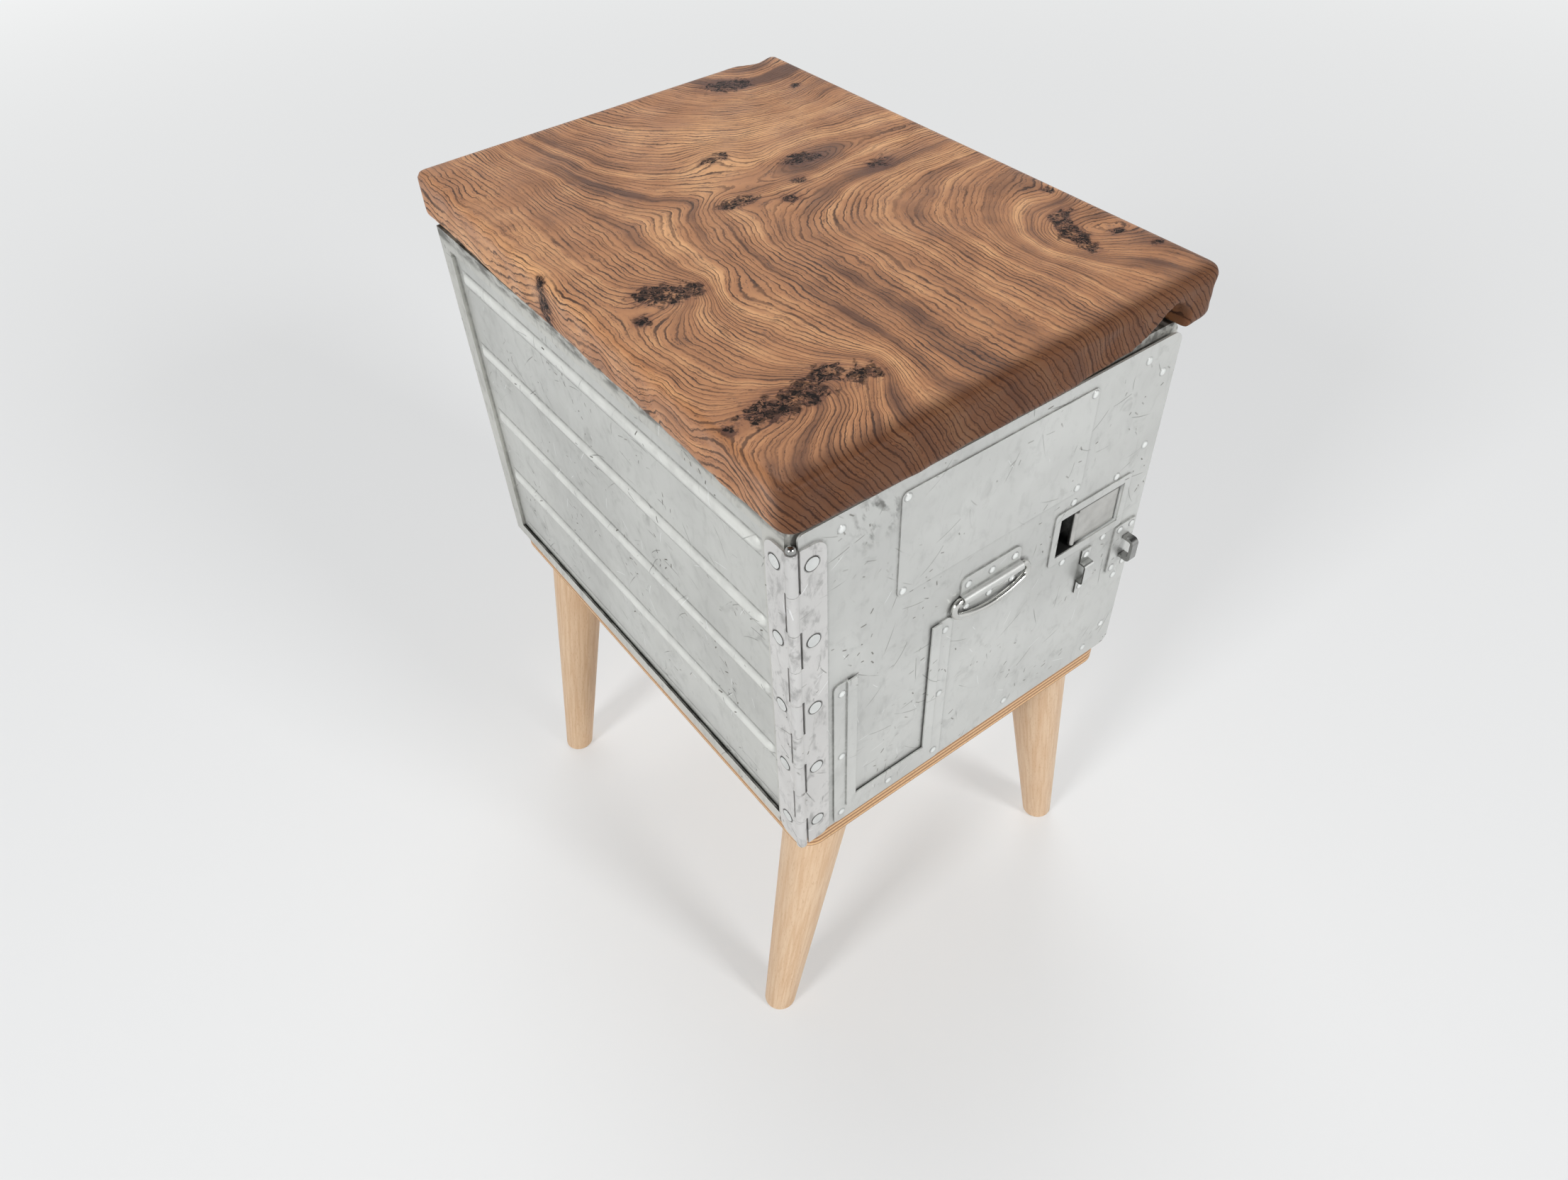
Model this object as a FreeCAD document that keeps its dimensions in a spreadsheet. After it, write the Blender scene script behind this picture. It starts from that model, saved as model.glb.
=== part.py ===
import FreeCAD, Part
import operator
import os
from math import asin, atan2, cos, degrees, pi, sin, sqrt
from types import SimpleNamespace

import Sketcher

# Side table made from an aluminium galley box: a burr slab on top, a plywood board and four turned legs
# below. Sizes are in mm. Positions are counted from the box's own corner at the hinge: x along the door from
# the hinge side, y backwards from the door's front face, z up from the top of the base board.

V = FreeCAD.Vector
doc = FreeCAD.newDocument("side_table")

SIZES = [
    ("unit_width", 298, "box, side to side"),
    ("unit_depth", 411, "box, door face to back"),
    ("unit_height", 285, "box, base board to slab"),
    ("skin_gauge", 1.5, "door skin sheet"),
    ("door_lift", 1, "door's lower edge above the base board"),
    ("door_gap", 5, "door's upper edge below the top of the box"),
    ("door_corner", 8, "door corner radius"),
    ("pan_gauge", 1.2, "inner door pan sheet"),
    ("pan_depth", 22, "back of the door pan behind the door face"),
    ("pan_flange_inset", 6, "pan flange inside the door's edges"),
    ("tray_inset_hinge", 24, "pan tray from the hinge side"),
    ("tray_inset", 17, "pan tray from the door's other edges"),
    ("tray_corner", 10, "pan tray corner radius"),
    ("mouth_setback", 4.5, "mouth frame behind the door face"),
    ("mouth_lip", 9, "width of the lip round the mouth"),
    ("frame_gauge", 3, "mouth frame section"),
    ("frame_depth", 20, "mouth frame, front to back"),
    ("frame_corner", 8, "mouth frame corner radius"),
    ("rim_depth", 8, "raised rim over the door"),
    ("barrel_relief", 0.7, "clearance round the hinge barrel in the frame"),
    ("panel_gauge", 1.2, "side, top, bottom and back sheets"),
    ("rail_gauge", 3, "edge rails and rear posts"),
    ("rail_leg", 14, "rail height on the sides"),
    ("rail_width", 16, "rail width under the slab and over the board"),
    ("low_gauge", 1.5, "upturned edge of the bottom rails"),
    ("low_height", 11, "height of that edge"),
    ("bead_first", 72, "lowest bead above the base board"),
    ("bead_last", 33, "highest bead below the top of the box"),
    ("bead_width", 12, "bead width"),
    ("bead_height", 2.2, "bead height"),
    ("bead_front", 30, "front end of the beads behind the door face"),
    ("bead_rear", 21, "rear end of the beads before the back"),
    ("leaf_gauge", 1.5, "hinge leaves"),
    ("barrel_radius", 3.5, "hinge knuckles"),
    ("barrel_proud", 1, "hinge knuckles beyond the faces of the leaves"),
    ("pin_radius", 1.95, "hinge pin"),
    ("pin_clearance", 0.05, "hinge pin in its knuckles, radial"),
    ("pin_head", 3, "round head of the hinge pin"),
    ("knuckle_gap", 0.3, "gap between knuckles"),
    ("knuckle_relief", 0.4, "gap between a leaf and the other leaf's knuckles"),
    ("leaf_gap", 9, "top of the hinge leaves below the door's"),
    ("door_leaf", 22.3, "far edge of the door leaf from the hinge side"),
    ("body_leaf", 21, "far edge of the body leaf from the door face"),
    ("leaf_corner", 8, "outer corners of the leaves"),
    ("hinge_rivet_inset", 12.5, "hinge rivets from the corner"),
    ("hinge_rivet_first", 22, "lowest hinge rivet above the leaves' lower end"),
    ("hinge_rivet_last", 12.8, "highest hinge rivet below the leaves' upper end"),
    ("flush_head", 4.4, "flush rivet head radius"),
    ("flush_shank", 2.2, "flush rivet shank radius"),
    ("flush_proud", 0.25, "flush rivet head above its leaf"),
    ("flush_ring", 0.5, "ring gap round a flush rivet head"),
    ("rivet_head", 3, "domed rivet head radius"),
    ("rivet_crown", 1.1, "domed rivet head height"),
    ("rivet_shank", 1.6, "domed rivet shank radius"),
    ("edge_rivet_side", 11.8, "rivets down the latch side, from the door's edge"),
    ("edge_rivet_low", 26.5, "lowest of them above the door's lower edge"),
    ("edge_rivet_second", 8.5, "second of them below the staple plate"),
    ("edge_rivet_third", 81.9, "third of them below the door's upper edge"),
    ("edge_rivet_high", 25.6, "highest of them below the door's upper edge"),
    ("edge_rivet_end", 10.7, "rivets along the top and the bottom, from the door's edges"),
    ("edge_rivet_hinge", 33.1, "first top rivet from the hinge side"),
    ("edge_rivet_latch", 28.2, "last top and bottom rivets from the latch side"),
    ("edge_rivet_shift", 37.4, "first bottom rivet right of the door's middle"),
    ("label_shift", 1.25, "label plate's middle right of the door's middle"),
    ("label_width", 152.5, "label plate"),
    ("label_gap", 9, "label plate's upper edge below the door's"),
    ("label_height", 79, "label plate"),
    ("label_gauge", 0.8, "label plate sheet"),
    ("label_corner", 4, "label plate corners"),
    ("label_rivet_inset", 3.9, "label rivets from the plate's edges"),
    ("card_left", 27, "card holder from the hinge side"),
    ("card_right", 27, "card holder from the door's middle"),
    ("card_low", 2.5, "card holder's lower edge"),
    ("card_drop", 11, "card holder's upper end below the handle's pivot"),
    ("card_gauge", 1.2, "card holder sheet"),
    ("card_band", 11, "riveted band of the card holder"),
    ("card_strip", 17.5, "band and raised lip together, at the sides"),
    ("card_foot_band", 15, "riveted band along the bottom"),
    ("card_foot_strip", 22, "band and raised lip together, along the bottom"),
    ("card_corner", 4, "card holder corners"),
    ("card_rivet_inset", 6, "card holder rivets from its side edges"),
    ("card_rivet_end", 9.4, "lowest and highest card holder rivets from its ends"),
    ("handle_shift", 3.5, "middle of the bail handle right of the door's middle"),
    ("handle_drop", 34.5, "pivot of the bail handle below the label plate"),
    ("handle_width", 51, "handle plate"),
    ("handle_height", 33, "handle plate"),
    ("handle_gauge", 1.2, "handle plate sheet"),
    ("handle_corner", 5, "handle plate corners"),
    ("handle_rivet_x", 20, "outer handle rivets from the middle"),
    ("handle_rivet_z", 10, "handle rivets from the pivot"),
    ("wire_radius", 2.25, "bail wire"),
    ("wire_clearance", 0.1, "bail wire in its sleeve, radial"),
    ("bail_reach", 32, "middle of the bail to its side, at the wire's centre"),
    ("bail_drop", 17, "pivot to the bottom of the bail, at the wire's centre"),
    ("bail_bend", 6, "bend radius at the sleeve"),
    ("bail_split", 2, "gap between the two wire ends in the sleeve"),
    ("bail_rest", 6, "bail at rest, degrees out from hanging"),
    ("latch_inset", 54.5, "middle of the latch from the latch side"),
    ("latch_drop", 35.5, "middle of the latch below the label plate"),
    ("bezel_width", 71, "latch bezel"),
    ("bezel_height", 46, "latch bezel"),
    ("bezel_gauge", 1, "latch bezel sheet"),
    ("bezel_corner", 3, "latch bezel corners"),
    ("dish_width", 60, "latch dish, inside"),
    ("dish_height", 33.5, "latch dish, inside"),
    ("dish_depth", 14, "latch dish, floor behind the door face"),
    ("dish_gauge", 1.2, "latch dish sheet"),
    ("dish_flange_width", 70, "latch dish flange behind the skin"),
    ("dish_flange_height", 64, "latch dish flange behind the skin"),
    ("dish_clearance", 0.2, "latch dish in the skin"),
    ("latch_rivet_x", 20, "latch rivets from the middle"),
    ("latch_rivet_z", 26.5, "latch rivets from the middle"),
    ("pivot_x", 26.7, "paddle pivot right of the latch middle"),
    ("pivot_y", 4.2, "paddle pivot behind the door face"),
    ("pivot_radius", 1.5, "paddle pin"),
    ("pivot_clearance", 0.05, "paddle on its pin, radial"),
    ("paddle_knuckle", 3, "rolled end of the paddle"),
    ("paddle_gauge", 2, "paddle sheet"),
    ("paddle_left", 12, "paddle's free edge left of the latch middle"),
    ("paddle_half", 15.6, "half the paddle's height"),
    ("paddle_lip", 2.2, "radius of the rolled grip edge"),
    ("tail_half", 1.5, "half the thickness of the paddle's tail"),
    ("tail_reach", 6.8, "tail beyond the pivot"),
    ("tail_height", 4, "half the height of the tail"),
    ("bolt_front", 8.2, "bolt's front face behind the door face"),
    ("bolt_gauge", 5.5, "bolt thickness"),
    ("bolt_half", 8, "half the bolt's height"),
    ("bolt_left", 14.5, "bolt's inner end right of the latch middle"),
    ("bolt_catch", 3, "bolt's nose behind the mouth lip"),
    ("bolt_clearance", 0.3, "bolt in its guide and slots"),
    ("bolt_slant", 3, "slant of the bolt's nose"),
    ("slot_left", 2.2, "tail slot left of the pivot"),
    ("slot_right", 2.8, "tail slot right of the pivot"),
    ("slot_floor", 1.6, "metal behind the tail slot"),
    ("guide_left", 3.5, "bolt guide's end left of the latch middle"),
    ("guide_right", 22, "bolt guide's open end right of the latch middle"),
    ("guide_gauge", 1.2, "bolt guide sheet"),
    ("spring_gauge", 0.7, "latch spring strip"),
    ("spring_half", 4, "half the height of the latch spring"),
    ("clip_inset", 51, "middle of the seal clip from the latch side"),
    ("clip_width", 9, "seal clip strap"),
    ("clip_drop", 27.5, "seal clip's upper end below the middle of the latch"),
    ("clip_height", 40, "seal clip strap"),
    ("clip_gauge", 1.2, "seal clip strap"),
    ("clip_bridge", 18, "raised part of the seal clip"),
    ("clip_rise", 6.2, "seal clip's crest before the door face"),
    ("clip_bend", 2.2, "seal clip bends"),
    ("clip_rivet_inset", 5, "seal clip rivets from its ends"),
    ("staple_inset", 12.5, "middle of the staple plate from the latch side"),
    ("staple_width", 21, "staple plate"),
    ("staple_drop", 24.5, "staple plate's upper edge below the middle of the latch"),
    ("staple_height", 44, "staple plate"),
    ("staple_gauge", 1.5, "staple plate sheet"),
    ("staple_corner", 3, "staple plate corners"),
    ("staple_rivet_x", 6, "staple rivets from the plate's middle"),
    ("staple_rivet_inset", 4, "staple rivets from the plate's ends"),
    ("loop_shift", 2, "staple loop right of the plate's middle"),
    ("loop_width", 6, "staple loop strip"),
    ("loop_gauge", 2.5, "staple loop strip"),
    ("loop_height", 20, "staple loop, top to bottom"),
    ("loop_reach", 10, "staple loop out from its plate"),
    ("loop_bend", 4, "staple loop bends"),
    ("board_gauge", 14, "plywood base board"),
    ("board_inset", 3, "board inside the box's sides"),
    ("board_front", 1, "board's front edge behind the door face"),
    ("board_rear", 1, "board's rear edge before the back"),
    ("board_corner", 15, "board corner radius"),
    ("leg_height", 261, "floor to the board's underside"),
    ("leg_side_inset", 40, "middle of the leg tops from the box's sides"),
    ("leg_end_inset", 31.5, "middle of the legs from the door face and the back"),
    ("leg_splay", 47, "feet out from the leg tops"),
    ("leg_top_radius", 24, "leg radius under the board"),
    ("leg_foot_radius", 12.8, "leg radius at the floor"),
    ("foot_round", 3, "rounding of the feet"),
    ("bolt_radius", 4, "hanger bolts in the legs"),
    ("bolt_in_leg", 45, "hanger bolt in its leg"),
    ("insert_radius", 6, "threaded inserts in the board"),
    ("insert_start", 1.2, "insert above the board's underside, along the leg"),
    ("insert_length", 9.5, "threaded insert"),
    ("screw_radius", 2, "slab and base screws"),
    ("screw_head", 4, "screw heads"),
    ("screw_head_height", 2.5, "screw heads"),
    ("screw_inset", 10, "screws from the box's sides"),
    ("screw_first", 60, "front screws behind the door face"),
    ("screw_last", 60, "rear screws before the back"),
    ("slab_screw_bite", 16, "slab screws in the slab"),
    ("base_screw_bite", 10, "base screws in the board"),
    ("slab_thickness", 35, "burr slab"),
    ("slab_front", 7.5, "slab before the door face"),
    ("slab_front_left", 8, "slab beyond the hinge side, at the front"),
    ("slab_rear_left", 0.5, "slab beyond the hinge side, at the rear"),
    ("slab_front_right", 17.5, "slab beyond the latch side, at the front"),
    ("slab_rear_right", 14, "slab beyond the latch side, at the rear"),
    ("slab_rear", 22.5, "slab behind the box, at its furthest"),
    ("rear_left_step", 5.5, "rear edge short of its furthest, at the hinge side"),
    ("rear_middle_step", 3, "rear edge short of its furthest, in the middle"),
    ("rear_right_step", 2, "rear edge short of its furthest, at the latch side"),
    ("notch_step", 7, "notch in the rear edge, short of its furthest"),
    ("notch_inset", 8, "notch from the latch side"),
    ("shoulder_inset", 25, "shoulder beside the notch, from the latch side"),
    ("lobe_reach", 7, "rear right lobe starts beyond the latch side"),
    ("slab_corner", 11, "slab corners, seen from above"),
    ("notch_round", 6, "rounding of the live edge's notch and rear corners"),
    ("slab_arris", 6, "rounding of the slab's top and bottom edges"),
    ("burr_start", 102, "hollow under the front edge, from the latch side"),
    ("burr_end", 9, "its right end from the latch side"),
    ("burr_rise", 25, "its height"),
    ("burr_depth", 52, "its reach behind the door face"),
]
BEADS = 4
KNUCKLES = 9
HINGE_RIVETS = 5

OPERATIONS = {"+": operator.add, "-": operator.sub, "*": operator.mul, "/": operator.truediv}
PARTS = []


class Size:
    """A size with its number and the formula that ties it to the sheet."""

    def __init__(self, value, text):
        self.value = float(value)
        self.text = text

    def __add__(self, other):
        return combine(self, "+", other)

    def __radd__(self, other):
        return combine(other, "+", self)

    def __sub__(self, other):
        return combine(self, "-", other)

    def __rsub__(self, other):
        return combine(other, "-", self)

    def __mul__(self, other):
        return combine(self, "*", other)

    def __rmul__(self, other):
        return combine(other, "*", self)

    def __truediv__(self, other):
        return combine(self, "/", other)

    def __neg__(self):
        return combine(0, "-", self)


def size(item):
    return item if isinstance(item, Size) else Size(item, format(item, ".10g"))


def combine(left, sign, right):
    left, right = size(left), size(right)
    value = OPERATIONS[sign](left.value, right.value)
    return Size(value, f"({left.text} {sign} {right.text})")


def root(item):
    return Size(sqrt(item.value), f"sqrt({item.text})")


def fill_sheet():
    """Writes the driving sizes into the sheet and gives them back by name."""
    sheet = doc.addObject("Spreadsheet::Sheet", "Sizes")
    sizes = {}
    for row, (alias, value, meaning) in enumerate(SIZES, 1):
        sheet.set(f"A{row}", meaning)
        sheet.set(f"B{row}", str(value))
        sheet.setAlias(f"B{row}", alias)
        sizes[alias] = Size(value, f"Sizes.{alias}")
    doc.recompute()
    return SimpleNamespace(**sizes)


S = fill_sheet()
W, D, H = S.unit_width, S.unit_depth, S.unit_height

# The shared frame: origin on the floor in the middle of the bounding box, door facing -Y.
FLOOR = -(S.leg_height + S.board_gauge)
FRONT_REACH = S.staple_gauge + S.loop_reach
ORIGIN = (-W / 2, (FRONT_REACH - (D + S.slab_rear)) / 2, -FLOOR)

HINGE_AXIS = S.barrel_radius - S.leaf_gauge - S.barrel_proud
SKIN_LEFT = HINGE_AXIS + S.barrel_radius + S.knuckle_relief
FLANGE_BACK = S.skin_gauge + S.pan_gauge
LIP_BACK = S.mouth_setback + S.frame_gauge
FRAME_BACK = S.mouth_setback + S.frame_depth
PANEL_IN = S.rail_gauge + S.panel_gauge
REAR_IN = D - S.rail_gauge
DOOR_TOP = H - S.door_gap
LEAF_TOP = DOOR_TOP - S.leaf_gap
KNUCKLE_PITCH = (LEAF_TOP - S.door_lift) / KNUCKLES
BEAD_PITCH = (H - S.bead_last - S.bead_first) / (BEADS - 1)
DOOR_MIDDLE = W / 2
LABEL_X = (DOOR_MIDDLE + S.label_shift - S.label_width / 2, DOOR_MIDDLE + S.label_shift + S.label_width / 2)
CARD_X = (S.card_left, DOOR_MIDDLE - S.card_right)
LABEL_LOW = DOOR_TOP - S.label_gap - S.label_height
HANDLE_X = DOOR_MIDDLE + S.handle_shift
HANDLE_Z = LABEL_LOW - S.handle_drop
CARD_TOP = HANDLE_Z - S.card_drop
LATCH_X = W - S.latch_inset
LATCH_Z = LABEL_LOW - S.latch_drop
CLIP_X = W - S.clip_inset
CLIP_LOW = LATCH_Z - S.clip_drop - S.clip_height
STAPLE_X = W - S.staple_inset
STAPLE_LOW = LATCH_Z - S.staple_drop - S.staple_height
HINGE_FIRST = S.door_lift + S.hinge_rivet_first
HINGE_STEP = (LEAF_TOP - S.hinge_rivet_last - HINGE_FIRST) / (HINGE_RIVETS - 1)
HINGE_HEIGHTS = [HINGE_FIRST + HINGE_STEP * i for i in range(HINGE_RIVETS)]
TAIL_X = LATCH_X + S.pivot_x
BOLT_NOSE = W - S.mouth_lip + S.bolt_catch
TURNS = {"-Y": FreeCAD.Rotation(V(1, 0, 0), 90), "-X": FreeCAD.Rotation(V(0, 1, 0), -90),
         "Z": FreeCAD.Rotation(), "-Z": FreeCAD.Rotation(V(1, 0, 0), 180)}


def bind(item, **sizes):
    for name, value in sizes.items():
        item.setExpression(name, size(value).text)


def place(item, x=0, y=0, z=0):
    for axis, start, step in zip("xyz", ORIGIN, (x, y, z)):
        item.setExpression(f"Placement.Base.{axis}", (start + step).text)


def part(item):
    PARTS.append(item)
    return item


def box(name, x, y, z):
    solid = doc.addObject("Part::Box", name)
    place(solid, x[0], y[0], z[0])
    bind(solid, Length=size(x[1]) - x[0], Width=size(y[1]) - y[0], Height=size(z[1]) - z[0])
    return solid


def rod(name, start, way, radius, length):
    solid = doc.addObject("Part::Cylinder", name)
    solid.Placement.Rotation = TURNS[way]
    place(solid, *start)
    bind(solid, Radius=radius, Height=length)
    return solid


def ball(name, centre, radius):
    solid = doc.addObject("Part::Sphere", name)
    place(solid, *centre)
    bind(solid, Radius=radius)
    return solid


def join(name, *pieces):
    solid = doc.addObject("Part::MultiFuse", name)
    solid.Shapes = list(pieces)
    return solid


def cut(name, base, *tools):
    solid = doc.addObject("Part::Cut", name)
    solid.Base = base
    if len(tools) == 1:
        solid.Tool = tools[0]
    else:
        gathered = doc.addObject("Part::Compound", name + "_tools")
        gathered.Links = list(tools)
        solid.Tool = gathered
    return solid


def common(name, base, tool):
    solid = doc.addObject("Part::Common", name)
    solid.Base = base
    solid.Tool = tool
    return solid


def new_body(name):
    body = doc.addObject("PartDesign::Body", name)
    place(body)
    return body


def sketch(body, role, offset=0):
    drawing = body.newObject("Sketcher::SketchObject", body.Name + "_sketch")
    plane = next(item for item in body.Origin.OriginFeatures if item.Role == role)
    drawing.AttachmentSupport = [(plane, "")]
    drawing.MapMode = "FlatFace"
    drawing.setExpression("AttachmentOffset.Base.z", size(offset).text)
    return drawing


def front_sketch(body, y=0):
    """A sketch seen from the door side: its x is x, its y is z and it faces forwards."""
    return sketch(body, "XZ_Plane", -size(y))


def rule_all(drawing, rules):
    """Adds the constraints and ties each one that has a size to the sheet."""
    first = drawing.ConstraintCount
    drawing.addConstraint([rule for rule, _ in rules])
    for index, (_, tie) in enumerate(rules, first):
        if tie is not None:
            drawing.setExpression(f"Constraints[{index}]", tie.text)


def outline(drawing, corners):
    """Draws a closed outline of level and upright lines. A corner is x, y and an optional radius."""
    corners = [tuple(size(item) for item in corner) for corner in corners]
    points = [V(x.value, y.value, 0) for x, y, *_ in corners]
    ways = [(points[(i + 1) % len(points)] - point).normalize() for i, point in enumerate(points)]
    first = drawing.GeometryCount
    arc_index = first + len(corners)
    lines, arcs, rules = [], [], []
    for i, (x, y, *rest) in enumerate(corners):
        line = first + i
        before = first + (i - 1) % len(corners)
        reach = [corner[2].value if len(corner) > 2 else 0 for corner in corners]
        after = (i + 1) % len(corners)
        lines.append(Part.LineSegment(points[i] + ways[i] * reach[i], points[after] - ways[i] * reach[after]))
        upright = abs(ways[i].x) < 1e-9
        rules.append((Sketcher.Constraint("Vertical" if upright else "Horizontal", line), None))
        kind, place_on = ("DistanceX", x) if upright else ("DistanceY", y)
        rules.append((Sketcher.Constraint(kind, -1, 1, line, 1, place_on.value), place_on))
        if not rest:
            rules.append((Sketcher.Constraint("Coincident", before, 2, line, 1), None))
            continue
        arriving, leaving = points[i] - ways[i - 1] * reach[i], points[i] + ways[i] * reach[i]
        centre = arriving + ways[i] * reach[i]
        left_turn = ways[i - 1].cross(ways[i]).z > 0
        ends = (arriving, leaving) if left_turn else (leaving, arriving)
        angles = [atan2(end.y - centre.y, end.x - centre.x) for end in ends]
        arcs.append(Part.ArcOfCircle(Part.Circle(centre, V(0, 0, 1), reach[i]), *angles))
        start, end = (1, 2) if left_turn else (2, 1)
        rules.append((Sketcher.Constraint("Tangent", before, 2, arc_index, start), None))
        rules.append((Sketcher.Constraint("Tangent", arc_index, end, line, 1), None))
        rules.append((Sketcher.Constraint("Radius", arc_index, reach[i]), rest[0]))
        arc_index += 1
    drawing.addGeometry(lines + arcs)
    rule_all(drawing, rules)


def rectangle(drawing, x, y, radius=None):
    spots = [(x[0], y[0]), (x[1], y[0]), (x[1], y[1]), (x[0], y[1])]
    outline(drawing, spots if radius is None else [(*spot, radius) for spot in spots])


def polygon(drawing, spots):
    """Draws a closed outline of straight lines through the given spots."""
    spots = [(size(x), size(y)) for x, y in spots]
    points = [V(x.value, y.value, 0) for x, y in spots]
    count = len(points)
    drawing.addGeometry([Part.LineSegment(points[i], points[(i + 1) % count]) for i in range(count)])
    rules = []
    for i, (x, y) in enumerate(spots):
        rules.append((Sketcher.Constraint("Coincident", (i - 1) % count, 2, i, 1), None))
        rules.append((Sketcher.Constraint("DistanceX", -1, 1, i, 1, x.value), x))
        rules.append((Sketcher.Constraint("DistanceY", -1, 1, i, 1, y.value), y))
    rule_all(drawing, rules)


def circle(drawing, x, y, radius):
    x, y, radius = size(x), size(y), size(radius)
    index = drawing.addGeometry(Part.Circle(V(x.value, y.value, 0), V(0, 0, 1), radius.value))
    rule_all(drawing, [(Sketcher.Constraint("DistanceX", -1, 1, index, 3, x.value), x),
                       (Sketcher.Constraint("DistanceY", -1, 1, index, 3, y.value), y),
                       (Sketcher.Constraint("Radius", index, radius.value), radius)])


def pad(body, drawing, length, against=False):
    feature = body.newObject("PartDesign::Pad", body.Name + "_pad")
    feature.Profile = drawing
    feature.Reversed = against
    bind(feature, Length=length)
    return feature


def pocket(body, drawing, length=None, against=False):
    feature = body.newObject("PartDesign::Pocket", body.Name + "_pocket")
    feature.Profile = drawing
    feature.Reversed = against
    if length is None:
        feature.Type = "ThroughAll"
    else:
        bind(feature, Length=length)
    return feature


def round_edges(body, feature, radius, chosen):
    doc.recompute()
    names = [f"Edge{i}" for i, edge in enumerate(feature.Shape.Edges, 1) if chosen(edge)]
    rounded = body.newObject("PartDesign::Fillet", body.Name + "_round")
    rounded.Base = (feature, names)
    bind(rounded, Radius=radius)
    return rounded


def along(edge, way):
    """True for a straight edge along the given direction."""
    if not isinstance(edge.Curve, Part.Line):
        return False
    return abs(abs(edge.Curve.Direction.dot(way)) - 1) < 1e-6


def turned_rivet(head, crown, shank, grip):
    """A domed rivet on the Z axis: head above z = 0, shank below."""
    rim, top = V(head.value, 0, 0), V(0, 0, crown.value)
    ball_radius = (head.value ** 2 + crown.value ** 2) / (2 * crown.value)
    half = asin(head.value / ball_radius) / 2
    bulge = V(ball_radius * sin(half), 0, crown.value - ball_radius * (1 - cos(half)))
    foot, neck = V(shank.value, 0, -grip.value), V(shank.value, 0, 0)
    end = V(0, 0, -grip.value)
    edges = [Part.makeLine(end, foot), Part.makeLine(foot, neck), Part.makeLine(neck, rim),
             Part.Arc(rim, bulge, top).toShape(), Part.makeLine(top, end)]
    return Part.Face(Part.Wire(edges)).revolve(V(), V(0, 0, 1), 360)


def flush_rivet(grip):
    """A flat-headed rivet on the Z axis, its head let into a leaf that ends at z = 0."""
    leaf, proud = S.leaf_gauge.value, S.flush_proud.value
    head, shank, end = S.flush_head.value, S.flush_shank.value, -leaf - grip.value
    profile = [(0, end), (shank, end), (shank, -leaf), (head, -leaf), (head, proud), (0, proud)]
    points = [V(x, 0, z) for x, z in profile]
    return Part.Face(Part.makePolygon(points + points[:1])).revolve(V(), V(0, 0, 1), 360)


def screw(bite):
    """A flat-headed screw on the Z axis: head below z = 0, shank up to its bite."""
    height = S.screw_head_height.value
    head = Part.makeCylinder(S.screw_head.value, height, V(0, 0, -height))
    return head.fuse(Part.makeCylinder(S.screw_radius.value, bite.value)).removeSplitter()


def group(name, solid, spots, way):
    """Copies of one fastener as separate solids."""
    copies = []
    for spot in spots:
        copy = solid.copy()
        copy.Placement = FreeCAD.Placement(V(*(size(item).value for item in spot)), TURNS[way])
        copies.append(copy)
    return numbered(name, copies)


def numbered(name, solids):
    item = doc.addObject("Part::Feature", name)
    item.Shape = Part.makeCompound(solids)
    item.Placement = FreeCAD.Placement(V(*(start.value for start in ORIGIN)), FreeCAD.Rotation())
    return part(item)


def door_rivets(name, spots, under, grip):
    """Domed rivets in the door: heads on a sheet of the given thickness, shanks through it and the grip."""
    rivet = turned_rivet(S.rivet_head, S.rivet_crown, S.rivet_shank, under + grip)
    return group(name, rivet, [(x, -under, z) for x, z in spots], "-Y")


# Fasteners come first: the sheets are drilled by them.

hinge_door_rivets = group(
    "hinge_door_rivets", flush_rivet(FLANGE_BACK),
    [(S.hinge_rivet_inset, -S.leaf_gauge, z) for z in HINGE_HEIGHTS], "-Y")
hinge_body_rivets = group(
    "hinge_body_rivets", flush_rivet(PANEL_IN),
    [(-S.leaf_gauge, S.hinge_rivet_inset, z) for z in HINGE_HEIGHTS], "-X")

low, high = S.door_lift, DOOR_TOP
right = W - S.edge_rivet_side
edge_spots = [(right, low + S.edge_rivet_low), (right, STAPLE_LOW - S.edge_rivet_second),
              (right, high - S.edge_rivet_third), (right, high - S.edge_rivet_high),
              (S.edge_rivet_hinge, high - S.edge_rivet_end),
              (W - S.edge_rivet_latch, high - S.edge_rivet_end),
              (DOOR_MIDDLE + S.edge_rivet_shift, low + S.edge_rivet_end),
              (W - S.edge_rivet_latch, low + S.edge_rivet_end)]
edge_rivets = door_rivets("door_rivets", edge_spots, size(0), FLANGE_BACK)

label_x = (LABEL_X[0] + S.label_rivet_inset, LABEL_X[1] - S.label_rivet_inset)
label_z = (LABEL_LOW + S.label_rivet_inset, LABEL_LOW + S.label_height - S.label_rivet_inset)
label_spots = [(x, z) for x in label_x for z in label_z]
label_rivets = door_rivets("label_rivets", label_spots, S.label_gauge, S.skin_gauge)

card_x = (CARD_X[0] + S.card_rivet_inset, CARD_X[1] - S.card_rivet_inset)
card_ends = (S.card_low + S.card_rivet_end, CARD_TOP - S.card_rivet_end)
card_z = [card_ends[0], (card_ends[0] + card_ends[1]) / 2, card_ends[1]]
card_spots = [(x, z) for x in card_x for z in card_z] + [((CARD_X[0] + CARD_X[1]) / 2, card_z[0])]
card_rivets = door_rivets("card_holder_rivets", card_spots, S.card_gauge, S.skin_gauge)

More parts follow.
